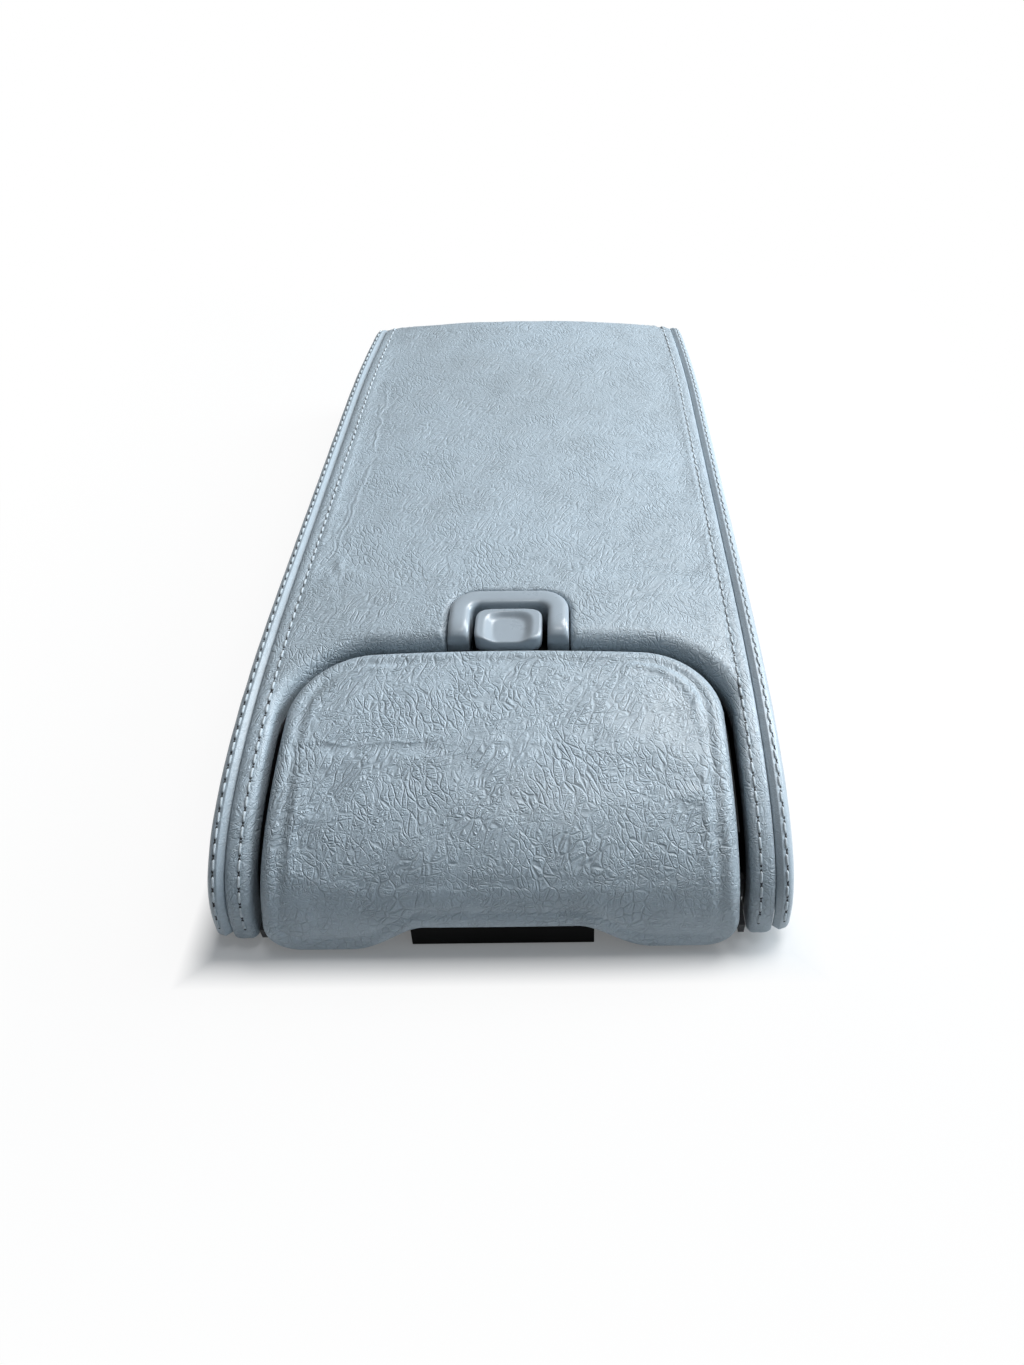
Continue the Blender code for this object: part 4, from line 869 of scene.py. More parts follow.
@dataclass(frozen=True)
class Thread:
    """Twisted sewing thread."""

    name: str
    colour: tuple[float, float, float]

    def build(self, groups: Groups) -> bpy.types.Material:
        """Twist as fine bands of noise, which also darken the thread a little.

        Args:
            groups: the shader node groups.

        Returns:
            The material.
        """
        material, nodes, shader, place = start_material(self.name)
        drift = nodes.add("ShaderNodeGroup", {
            "Vector": place, "Base": (*self.colour, 1), "Other": (*[c * 0.6 for c in self.colour], 1),
            "Patches per metre": 900.0, "Amount": 0.7}, node_tree=groups.drift)
        nodes.feed(shader, {"Base Color": drift.outputs["Color"], "Roughness": 0.62})
        return material


@dataclass
class Palette:
    """Every finish of the armrest."""

    groups: Groups = field(default_factory=Groups)

    def __post_init__(self) -> None:
        """Builds the materials from their finishes."""
        hide = (0.43, 0.51, 0.575)
        shade = (0.35, 0.405, 0.445)
        top_lines = ((1, 36.0, 118.0, -72.0, -73.5, 0.8, 0.6), (1, -52.0, 40.0, -75.5, -71.6, 0.8, 0.75),
                     (1, -50.0, 20.0, -77.5, -74.0, 0.7, 0.5), (1, -70.0, -18.0, -70.8, -68.4, 0.8, 0.65))
        lid_lines = ((0, -77.0, -20.0, -144.0, -146.8, 0.9, 0.45), (0, -8.0, 45.0, -146.0, -151.0, 1.3, 0.35))
        flat = Hide("leather_top", hide, shade, 660.0, 42.0, 0.22, 0.5 * MM, 0.42, top_lines)
        lid = Hide("leather_lid", hide, shade, 560.0, 60.0, 0.2, 0.68 * MM, 0.4, lid_lines)
        flank = Hide("leather_flank", hide, shade, 850.0, 30.0, 0.12, 0.13 * MM, 0.38)
        self.top, self.lid, self.flank = (f.build(self.groups) for f in (flat, lid, flank))
        satin = Moulded("satin_plastic", (0.36, 0.41, 0.455), (0.31, 0.35, 0.39), 0.3, 3000.0, 0.006 * MM, 0.25)
        gloss = Moulded("gloss_black_plastic", (0.001, 0.001, 0.001), (0.002, 0.002, 0.002), 0.5, 3000.0,
                        0.003 * MM, specular=0.05)
        black = Moulded("black_plastic", (0.016, 0.016, 0.018), (0.028, 0.028, 0.03), 0.5, 1300.0, 0.12 * MM)
        rubber = Moulded("rubber", (0.014, 0.014, 0.014), (0.03, 0.03, 0.03), 0.75, 900.0, 0.08 * MM)
        steel = Moulded("zinc_steel", (0.55, 0.55, 0.56), (0.42, 0.42, 0.45), 0.34, 1600.0, 0.02 * MM, 0.0, 1.0)
        felt = Moulded("flocked_mat", (0.022, 0.023, 0.026), (0.045, 0.047, 0.052), 0.92, 1900.0, 0.5 * MM)
        self.satin, self.gloss, self.black = (f.build(self.groups) for f in (satin, gloss, black))
        self.rubber, self.steel, self.felt = (f.build(self.groups) for f in (rubber, steel, felt))
        self.thread = Thread("pale_thread", (0.56, 0.62, 0.66)).build(self.groups)
        # Painted shade: near-black ovals stand for the shade in the needle holes.
        self.hole = Moulded("needle_hole", (0.03, 0.032, 0.035), (0.05, 0.05, 0.055), 0.8).build(self.groups)


def dress(piece: bpy.types.Object, material: bpy.types.Material) -> None:
    """Gives the whole piece one material."""
    piece.data.materials.clear()
    piece.data.materials.append(material)
    piece.data.polygons.foreach_set("material_index", np.zeros(len(piece.data.polygons), np.int32))


# ---------------------------------------------------------------- the leather covers


@dataclass
class CentreCover:
    """The leather between the two seams: top, nose arms, rear and the pockets for lid and bezel."""

    form: Form
    curve: SideCurve
    recess_half: float = 81.7 * MM
    recess_rear: float = -99.5 * MM
    recess_radius: float = 32.5 * MM
    pocket_half: float = 23.5 * MM
    pocket_rear: float = -72.0 * MM
    pocket_radius: float = 11.5 * MM
    edge_roll: float = 6.5 * MM
    pocket_roll: float = 2.4 * MM
    skirt: float = 7 * MM
    wall: float = 1.6 * MM
    hem: float = 2.5 * MM
    stitch_inset: float = 5 * MM
    stitch_furrow: float = 0.32 * MM
    seam_round: float = 2.6 * MM
    seam_gap: float = 0.15 * MM
    notch_round: float = 1.5 * MM
    ease_run: float = 9 * MM
    swell: float = 0.10 * MM
    pucker: float = 0.12 * MM
    run_shares: tuple = (0, 0.12, 0.21, 0.28, 0.29, 0.335, 0.42, 0.5)
    corner_share: float = 0.38
    relief: Relief | None = None

    def inner_outline(self) -> tuple[Array, Array, Array]:
        """Outline of the lid's recess and the bezel's pocket, from the left tip to the right tip.

        Straight runs and quarter circles in (x, arc length). With it come the roll's radius at each point
        and the share of the outer boundary that each point belongs to.

        Returns:
            The (n, 2) points, the roll's radii and the shares.
        """
        s_rear = self.curve.length_at(self.recess_rear)
        s_pocket = self.curve.length_at(self.pocket_rear)
        half, r, ph, pr = self.recess_half, self.recess_radius, self.pocket_half, self.pocket_radius
        end, notch = s_rear - r, self.notch_round
        runs = []

        def straight(a: tuple, b: tuple, count: int) -> None:
            """Adds points evenly along a line."""
            t = np.linspace(0, 1, count, endpoint=False)[:, None]
            runs.append(np.array(a) * (1 - t) + np.array(b) * t)

        def turn(cx: float, cy: float, radius: float, a: float, b: float, count: int) -> None:
            """Adds points along an arc between two angles in degrees."""
            t = np.radians(np.linspace(a, b, count, endpoint=False))
            runs.append(np.stack([cx + radius * np.cos(t), cy + radius * np.sin(t)], axis=1))

        straight((-half, 0.0), (-half, end), 62)
        turn(r - half, end, r, 180, 90, 40)
        straight((r - half, s_rear), (-ph - notch, s_rear), 16)
        turn(-ph - notch, s_rear + notch, notch, -90, 0, 6)
        straight((-ph, s_rear + notch), (-ph, s_pocket - pr), 14)
        turn(pr - ph, s_pocket - pr, pr, 180, 90, 16)
        straight((pr - ph, s_pocket), (0.0, s_pocket), 8)
        left = np.concatenate(runs)
        right = left[::-1] * (-1, 1)
        points = np.concatenate([left, [(0.0, s_pocket)], right])
        at_pocket = smooth_step((points[:, 1] - s_rear) / (6 * MM)) * (np.abs(points[:, 0]) < ph + 2 * MM)
        rolls = self.edge_roll + (self.pocket_roll - self.edge_roll) * at_pocket
        marks = np.cumsum([0] + [len(run) for run in runs])
        places = np.interp(np.arange(marks[-1]), marks, self.run_shares)
        shares = np.concatenate([places, [0.5], 1 - places[::-1]])
        return points, rolls, shares

    def outer_outline(self, shares: Array) -> Array:
        """Outer boundary in (x, arc length): up the left seam, along the rear bottom and down the right seam.

        Args:
            shares: 0 at the left tip, corner_share at the left rear corner, 1 at the right tip.

        Returns:
            The (n, 2) points.
        """
        total = self.curve.total
        end = self.curve.length_at(self.recess_rear) - self.recess_radius
        t = np.minimum(shares, 1 - shares)
        s = np.interp(t, [0, self.run_shares[1], self.corner_share], [0, end, total])
        y = self.curve.at(s)[0]
        half = self.form.seam_half(y) - self.seam_gap
        x = np.where(t > self.corner_share, np.interp(t, [self.corner_share, 0.5], [1, 0]) * half, half)
        return np.stack([np.where(shares < 0.5, -x, x), s], axis=1)

    def lift(self, x: Array, s: Array) -> Array:
        """Height over the side curve: the crown, the swell and the creases of the leather.

        Args:
            x: places across.
            s: arc lengths.

        Returns:
            The heights.
        """
        y = self.curve.at(s)[0]
        across = np.clip(np.abs(x) / self.form.seam_half_front, 0, 1)
        crown = self.form.crown * (1 - across**2)
        ease = smooth_step((self.form.seam_half(y) - np.abs(x)) / self.ease_run)
        swell = self.swell * Ripples(24 * MM, 5, stretch=1.6).at(x, s) * ease
        back = smooth_step((s - self.curve.length_at(-110 * MM)) / (20 * MM))
        long_crease = ((-71.0, 112.0), (-71.5, 70.0), (-70.5, 36.0), (-73.0, 8.0), (-74.5, -16.0), (-75.0, -50.0))
        marks = crease(x, y, long_crease, 2.2 * MM, 0.16 * MM)
        marks += crease(x, y, ((-67.5, -20.0), (-69.5, -42.0), (-70.0, -68.0)), 2.0 * MM, 0.12 * MM)
        top = smooth_step((self.form.rear_y - 16 * MM - y) / (10 * MM))
        pull = self.puckers(x, y)
        swelling = self.relief.at(x, s) if self.relief else 0.0
        return crown + swell + (marks * top + pull) * back * ease + swelling

    def puckers(self, x: Array, y: Array) -> Array:
        """Short folds that run out from the corners of the bezel: cosines of the angle round each corner.

        Args:
            x: places across.
            y: places along.

        Returns:
            The heights to add.
        """
        total = 0.0
        for sx in (-1, 1):
            dx, dy = (x - sx * 17 * MM) * sx, y - (self.pocket_rear - 5 * MM)
            far = np.hypot(dx, dy)
            fan = np.cos(19 * np.arctan2(dy, dx) + 3 * sx + far / (5 * MM))
            total = total + self.pucker * fan * bell(far - 13 * MM, 6 * MM)
        return total

    def point(self, x: Array, s: Array) -> Array:
        """A point of the cover away from its rolled edge, where stitches are set."""
        return lay(self.curve, x, s, self.lift(x, s) - self.seam_dip(x, s))

    def seam_dip(self, x: Array, s: Array) -> Array:
        """Depth of the rounded dip into the seam and of the shallow furrow under the stitches.

        Args:
            x: places across.
            s: arc lengths.

        Returns:
            The depths.
        """
        near = self.form.seam_half(self.curve.at(s)[0]) - np.abs(x)
        t = np.clip(1 - near / self.seam_round, 0, 1)
        dip = self.form.seam_depth * (1 - np.sqrt(np.maximum(0, 1 - t**2)))
        return dip + self.stitch_furrow * bell(near - self.stitch_inset, 1.1 * MM)

    def nearest(self, place: Array, inner: Array, rolls: Array) -> tuple[Array, Array]:
        """Distance from each place to the inner outline, and the roll's radius at the nearest part of it.

        Args:
            place: (rows, n, 2) places in (x, arc length).
            inner: the outline's (n, 2) points.
            rolls: the roll's radius at each of them.

        Returns:
            The distances and the radii.
        """
        a, b = inner[:-1], inner[1:]
        d = b - a
        size = (d**2).sum(axis=1)
        flat = place.reshape(-1, 2)
        gap, bend = np.empty(len(flat)), np.empty(len(flat))
        for part in np.array_split(np.arange(len(flat)), 24):
            off = flat[part, None] - a
            share = np.clip((off * d).sum(axis=2) / size, 0, 1)
            far = np.linalg.norm(off - share[..., None] * d, axis=2)
            best = far.argmin(axis=1)
            row = np.arange(len(part))
            gap[part] = far[row, best]
            bend[part] = rolls[:-1][best] * (1 - share[row, best]) + rolls[1:][best] * share[row, best]
        return gap.reshape(place.shape[:2]), bend.reshape(place.shape[:2])

    def build(self, palette: Palette) -> bpy.types.Object:
        """Builds the cover: straight lines from the inner outline to the outer one, bent over the side curve.

        Rows lie close together in the roll at the recess and at the seam. The roll is a quarter circle of the
        distance to the inner outline, and a skirt goes down from it.

        Args:
            palette: the finishes.

        Returns:
            The new piece.
        """
        inner, rolls, shares = self.inner_outline()
        outer = self.outer_outline(shares)
        ruled = outer - inner
        span = np.linalg.norm(ruled, axis=1)
        rolls = np.minimum(rolls, 0.42 * span)
        ahead = np.gradient(inner, axis=0)
        ahead /= np.linalg.norm(ahead, axis=1)[:, None]
        slant = np.abs(ahead[:, 0] * ruled[:, 1] - ahead[:, 1] * ruled[:, 0]) / span
        near = np.minimum(rolls * 1.15 / np.maximum(slant, 0.25), 0.5 * span)
        far = np.minimum(4 * MM, 0.38 * span)
        fine = 1 - np.cos(np.linspace(0, math.pi / 2, 11))
        first = fine[:, None] * near
        middle = np.linspace(0, 1, 62)[1:-1, None] * (span - near - far) + near
        last = span - far + np.sin(np.linspace(0, math.pi / 2, 9))[:, None] * far
        away = np.concatenate([first, middle, last])
        share = (away / span)[..., None]
        place = inner * (1 - share) + outer * share
        x, s = place[..., 0], place[..., 1]
        gap, bend = self.nearest(place, inner, rolls)
        lift = self.lift(x, s) - self.seam_dip(x, s) - rolled_fall(gap, bend)
        top = lay(self.curve, x, s, lift)
        depths = np.linspace(self.skirt, 0, 5)[:-1, None]
        edge_lift = lift[0] - depths * np.minimum(1, rolls / (3 * MM))
        skirt = lay(self.curve, np.broadcast_to(inner[:, 0], edge_lift.shape), inner[:, 1], edge_lift)
        hem = lay(self.curve, outer[:, 0], outer[:, 1], lift[-1] - self.hem)[None]
        points = np.concatenate([skirt, top, hem])
        points[..., 2] = np.maximum(points[..., 2], self.form.pad_bottom_z)
        piece = make_piece("centre_cover", points.reshape(-1, 3), grid_faces(*points.shape[:2])[:, ::-1])
        face_towards(clean(piece, outwards=False), (0, 0, 1))
        thicken(piece, self.wall)
        dress(piece, palette.top)
        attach(piece, Body.ARMREST.value)
        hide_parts("centre_pad")
        return piece


@dataclass
class SideCover:
    """The leather of one flank, from its seam over the shoulder down to the bottom edge."""

    form: Form
    curve: SideCurve
    side: Side
    width: float = 6.9 * MM
    shoulder: float = 6.5 * MM
    wall: float = 1.2 * MM
    stitch_out: float = 3.6 * MM
    stitch_furrow: float = 0.28 * MM
    seam_gap: float = 0.15 * MM
    lip_width: float = 2.2 * MM
    lip_share: float = 0.3
    swell: float = 0.25 * MM

    def section(self, t: Array) -> tuple[Array, Array]:
        """Section from the seam: how far out and how far in from the side curve.

        A rounded lip out of the seam, then a quarter ellipse over the shoulder.

        Args:
            t: 0 at the seam, 1 at the foot of the shoulder.

        Returns:
            The way out and the depth.
        """
        lip = np.sin(np.clip(t / self.lip_share, 0, 1) * math.pi / 2)
        angle = np.clip((t - self.lip_share) / (1 - self.lip_share), 0, 1) * math.pi / 2
        rest = self.width - self.lip_width - self.seam_gap
        out = self.seam_gap + self.lip_width * lip + rest * np.sin(angle)
        return out, self.form.seam_depth * (1 - lip) + self.shoulder * (1 - np.cos(angle)) ** 1.15

    def spread(self, y: Array, out: Array) -> Array:
        """How far from the middle a point of the section lies.

        The seam turns in at the rear corners and the outer edge does not, so past the lip the section is
        stretched by the difference.

        Args:
            y: places along the armrest.
            out: ways out from the seam.

        Returns:
            Distances from the middle plane.
        """
        seam = self.form.seam_half(y)
        share = np.clip((out - self.lip_width) / (self.width - self.lip_width), 0, 1)
        return seam + out + (self.form.straight_half(y) - seam) * share

    def build(self, palette: Palette) -> bpy.types.Object:
        """Builds the flank: the section carried along the side curve, then straight down to the bottom.

        Down the rear the section ends on the flank's own upright edge, so no wall starts from there.

        Args:
            palette: the finishes.

        Returns:
            The new piece.
        """
        name = f"side_cover_{self.side.name.lower()}"
        s = np.linspace(0, self.curve.total, 260)
        t = np.linspace(0, 1, 24)[:, None]
        out, depth = self.section(t)
        y, z, ny, nz = self.curve.at(s)
        sign = self.side.value
        furrow = self.stitch_furrow * bell(out - self.stitch_out, 1.0 * MM)
        slack = 0.07 * MM * Ripples(18 * MM, 21 + sign).at(out * 2, s)
        drop = depth + furrow - slack * smooth_step((out - 3 * MM) / (2 * MM))
        low_z = self.form.pad_bottom_z + 0.3 * depth
        low = np.maximum(z - nz * drop, low_z + 1.2 * MM + np.minimum(0.3 * s, 0.9 * MM))
        top = np.stack(np.broadcast_arrays(sign * self.spread(y, out), y - ny * drop, low), axis=-1)
        edge = top[-1, :int(np.argmax(ny > 0.999)) + 1]
        foot = edge.copy()
        foot[:, 2] = self.form.pad_bottom_z + 2 * MM
        down = np.linspace(0, 1, 12)[:, None, None]
        wall = edge * (1 - down) + foot * down
        arch = np.sin(math.pi * down[..., 0])
        slack = 0.1 * MM * Ripples(26 * MM, 31 + sign).at(wall[..., 2], wall[..., 1])
        wall[..., 0] += sign * arch * (self.swell + slack)
        tuck = wall[-1] + np.array([-sign * 1.6 * MM, 0, -1.6 * MM])
        under = tuck + np.array([-sign * 3.0 * MM, 0, 0])
        lower = np.concatenate([wall, tuck[None], under[None]])
        points = np.concatenate([top.reshape(-1, 3), lower.reshape(-1, 3)])
        faces = np.concatenate([grid_faces(*top.shape[:2]), grid_faces(*lower.shape[:2]) + top[..., 0].size])
        piece = make_piece(name, points, faces if sign < 0 else faces[:, ::-1])
        face_towards(clean(piece, outwards=False), (sign, 0, 0))
        thicken(piece, self.wall)
        dress(piece, palette.flank)
        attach(piece, Body.ARMREST.value)
        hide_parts(f"side_pad_{self.side.name.lower()}")
        return piece

    def stitch_point(self, s: Array) -> Array:
        """Points of the stitch line beside the seam.

        Args:
            s: arc lengths.

        Returns:
            The (n, 3) points.
        """
        t = np.linspace(0, 1, 200)
        out, depth = self.section(t)
        deep = float(np.interp(self.stitch_out, out, depth)) + self.stitch_furrow
        half = self.spread(self.curve.at(s)[0], self.stitch_out)
        return lay(self.curve, self.side.value * half, s, np.full_like(s, -deep))


@dataclass
class Topstitch:
    """One row of topstitches beside a seam, with painted shade of the needle holes at their ends."""

    name: str
    line: Callable[[Array], Array]
    total: float
    pitch: float = 5.3 * MM
    stitch: float = 4.0 * MM
    thread: float = 0.46 * MM
    start: float = 5 * MM
    rings: int = 7
    sides: int = 6
    hole_sides: int = 8
    turn_limit: float = 0.18
    seed: int = 1

    def build(self, palette: Palette) -> bpy.types.Object:
        """Builds every stitch as a short bowed tube that dives into the leather at both ends.

        The tube's middle line is the stitch line raised by a flat arch, and its ring turns round the line's
        direction. A dark flat ring round each end is painted shade of the needle holes. Where the line turns in at
        the rear corners, the stitches are left out.

        Args:
            palette: the finishes.

        Returns:
            The new piece.
        """
        rng = np.random.default_rng(self.seed)
        count = int((self.total - 2 * self.start) / self.pitch)
        begin = self.start + np.arange(count) * self.pitch + rng.normal(0, 0.12 * MM, count)
        t = np.linspace(0, 1, self.rings)
        s = begin[:, None] + t * self.stitch
        middle = self.line(s.ravel()).reshape(count, self.rings, 3)
        ahead = np.gradient(middle, axis=1)
        ahead /= np.linalg.norm(ahead, axis=-1, keepdims=True)
        straight = np.abs(ahead[..., 0]).max(axis=1) < self.turn_limit
        middle, ahead, count = middle[straight], ahead[straight], int(straight.sum())
        up = np.cross(np.broadcast_to([1.0, 0, 0], ahead.shape), ahead)
        up /= np.linalg.norm(up, axis=-1, keepdims=True)
        up *= np.sign(up[..., 2:3] - 1e-3 * up[..., 1:2] + 1e-9)
        across = np.cross(ahead, up)
        lean = rng.normal(0, 0.1 * MM, count)[:, None] * (t - 0.5)
        rise = self.thread * (0.55 * (1 - (2 * t - 1) ** 6) * 2 - 0.75)
        thick = self.thread * (0.75 + 0.25 * (1 - (2 * t - 1) ** 4))
        angle = np.linspace(0, 2 * math.pi, self.sides, endpoint=False)
        centre = middle + up * rise[:, None] + across * lean[..., None]
        ring = np.cos(angle)[:, None] * across[:, :, None] + np.sin(angle)[:, None] * up[:, :, None]
        tubes = centre[:, :, None] + ring * thick[:, None, None]
        first, last = (centre[:, e, None].repeat(self.sides, 2) for e in (slice(0, 1), slice(-1, None)))
        tubes = np.concatenate([first, tubes, last], axis=1)
        faces = grid_faces(self.rings + 2, self.sides, wrap=True)
        step = (self.rings + 2) * self.sides
        all_faces = (faces[None] + (np.arange(count) * step)[:, None, None]).reshape(-1, 4)
        holes, hole_faces = self.holes(middle, across, up, count * step)
        points = np.concatenate([tubes.reshape(-1, 3), holes])
        piece = make_piece(self.name, points, np.concatenate([all_faces, hole_faces]))
        piece.data.materials.append(palette.thread)
        piece.data.materials.append(palette.hole)
        index = np.zeros(len(piece.data.polygons), np.int32)
        index[len(all_faces):] = 1
        piece.data.polygons.foreach_set("material_index", index)
        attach(piece, Body.ARMREST.value)
        return piece

    def holes(self, middle: Array, across: Array, up: Array, first: int) -> tuple[Array, Array]:
        """Domed dark ovals at both ends of each stitch, painted shade of the needle holes: two rings and a top
        point drawn into one.

        Args:
            middle: the stitch line of each stitch.
            across: directions across it.
            up: directions out of the leather.
            first: number of the first point.

        Returns:
            The points and the faces.
        """
        centre, side, rise = (np.concatenate([part[:, 0], part[:, -1]]) for part in (middle, across, up))
        along = np.cross(rise, side)
        angle = np.linspace(0, 2 * math.pi, self.hole_sides, endpoint=False)
        radii = np.array([0.0, 0.42, 0.62]) * MM
        heights = np.array([0.06, 0.05, -0.12]) * MM
        ring = np.cos(angle)[:, None] * side[:, None] + 1.35 * np.sin(angle)[:, None] * along[:, None]
        points = centre[:, None, None] + ring[:, None] * radii[:, None, None]
        points = points + rise[:, None, None] * heights[:, None, None]
        starts = first + np.arange(len(centre)) * len(radii) * self.hole_sides
        faces = grid_faces(len(radii), self.hole_sides, wrap=True)[None] + starts[:, None, None]
        return points.reshape(-1, 3), faces.reshape(-1, 4)


@dataclass
class Lid:
    """The padded lid in the front."""

    form: Form
    front_y: float = -200 * MM
    rear_y: float = -103 * MM
    half: float = 78.2 * MM
    bottom_z: float = 3.0 * MM
    rear_radius: float = 29 * MM
    front_radius: float = 12 * MM
    pad: float = 6 * MM
    lip: float = 1.4 * MM
    lip_run: float = 22 * MM
    crown: float = 3.5 * MM
    crown_run: float = 30 * MM
    ease_run: float = 9 * MM
    furrow_depth: float = 0.55 * MM
    furrow_inset: float = 7 * MM
    furrow_width: float = 1.7 * MM
    slack: float = 0.13 * MM
    dent: float = 0.16 * MM
    dent_width: float = 4.5 * MM
    roll: float = 4.2 * MM
    scallop_rise: float = 11 * MM
    scallop_flat: float = 25 * MM
    scallop_half: float = 50 * MM
    columns: int = 171
    rows: int = 131
    relief: Relief | None = None

    def __post_init__(self) -> None:
        """Lays out the lid's side curve up to its rear edge."""
        points = self.form.nose(self.front_y, self.bottom_z, 120)[::-1]
        self.curve = SideCurve(points[points[:, 0] <= self.rear_y + 2 * MM])
        self.total = float(np.interp(self.rear_y, self.curve.points[:, 0], self.curve.s))

    def scallop(self, x: Array) -> Array:
        """How far the front edge is raised over the paddle: a flat with a smooth step on each side."""
        share = (self.scallop_half - np.abs(x)) / (self.scallop_half - self.scallop_flat)
        return self.scallop_rise * smooth_step(share)

    def limits(self, x: Array) -> tuple[Array, Array]:
        """Arc length left out at the front and the rear: quarter circles at the corners, and the scallop.

        Args:
            x: places across.

        Returns:
            The two lengths at each place.
        """
        def corner(radius: float) -> Array:
            """Drop of a quarter circle at the sides."""
            reach = np.clip(np.abs(x) - (self.half - radius), 0, radius)
            return radius - np.sqrt(radius**2 - reach**2)
        return corner(self.front_radius) + self.scallop(x), corner(self.rear_radius)

    def border(self, x: Array, s: Array) -> Array:
        """Distance to the outline: of a rectangle with round corners in (x, arc length), less the scallop.

        Args:
            x: places across.
            s: arc lengths.

        Returns:
            The distances, nought outside.
        """
        rear = s > self.total / 2
        radius = np.where(rear, self.rear_radius, self.front_radius)
        qx = np.abs(x) - (self.half - radius)
        qs = np.where(rear, s - (self.total - radius), radius - (s - self.scallop(x)))
        outside = np.hypot(np.maximum(qx, 0), np.maximum(qs, 0))
        return np.maximum(0, radius - outside - np.minimum(np.maximum(qx, qs), 0))

    def depth(self, s: Array) -> Array:
        """Thickness of the pad: thin where it wraps the hinge."""
        return self.lip + (self.pad - self.lip) * smooth_step(s / self.lip_run)

    def crowning(self, x: Array, s: Array) -> Array:
        """The crown: a parabola across that grows evenly from the front edge."""
        return self.crown * (1 - (x / self.half) ** 2) * np.minimum(1, s / self.crown_run)

    def lift(self, x: Array, s: Array) -> Array:
        """Height over the side curve: crown, furrow inside the border, dents and slack of the leather.

        Args:
            x: places across.
            s: arc lengths.

        Returns:
            The heights.
        """
        crown = self.crowning(x, s)
        gap = self.border(x, s)
        ease = smooth_step(gap / self.ease_run)
        furrow = -self.furrow_depth * bell(gap - self.furrow_inset, self.furrow_width)
        slack = self.slack * Ripples(17 * MM, 9, stretch=1.5).at(x, s) * ease
        y = self.curve.at(s)[0]
        marks = crease(x, y, ((-74.0, -146.0), (-50.0, -147.5), (-22.0, -148.5)), 2.4 * MM, 0.3 * MM)
        for cx, cy in ((-40, -113), (1, -113), (38, -115)):
            far = np.hypot(x - cx * MM, (y - cy * MM) / 1.6)
            marks = marks - self.dent * bell(far, self.dent_width)
        swelling = self.relief.at(x, s) if self.relief else 0.0
        return crown + furrow + (slack + marks + swelling) * ease

    def cover(self, palette: Palette) -> bpy.types.Object:
        """Builds the closed pad: an outer grid, an inner one below it, and walls between their borders.

        Columns lie closer towards the sides and rows towards both ends. The roll at the border is a quarter
        circle of the distance to the outline.

        Args:
            palette: the finishes.

        Returns:
            The new piece.
        """
        turn = np.linspace(-math.pi / 2, math.pi / 2, self.columns)
        x = self.half * (0.45 * np.sin(turn) + 0.55 * np.sin(np.sin(turn) * math.pi / 2))
        share = 0.5 - 0.5 * np.cos(np.linspace(0, math.pi, self.rows))
        share = 0.35 * np.linspace(0, 1, self.rows) + 0.65 * share
        front, rear = self.limits(x)
        s = front + share[:, None] * (self.total - rear - front)
        x = np.broadcast_to(x, s.shape)
        gap = self.border(x, s)
        bend = np.minimum(self.roll, 0.8 * self.depth(s))
        outer = lay(self.curve, x, s, self.lift(x, s) - rolled_fall(gap, bend))
        inner = lay(self.curve, x, s, self.crowning(x, s) - self.depth(s))
        rows, columns = s.shape
        count = rows * columns
        faces = grid_faces(rows, columns)
        ring = np.concatenate([np.arange(columns), (np.arange(1, rows) + 1) * columns - 1,
                               count - 1 - np.arange(1, columns), np.arange(rows - 2, 0, -1) * columns])
        ahead = np.roll(ring, -1)
        walls = np.stack([ahead, ring, ring + count, ahead + count], axis=1)
        points = np.concatenate([outer.reshape(-1, 3), inner.reshape(-1, 3)])
        piece = make_piece("lid_cover", points, np.concatenate([faces, faces[:, ::-1] + count, walls]))
        clean(piece)
        dress(piece, palette.lid)
        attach(piece, Body.LID.value)
        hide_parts("lid_pad")
        return piece


# ---------------------------------------------------------------- the hard trim


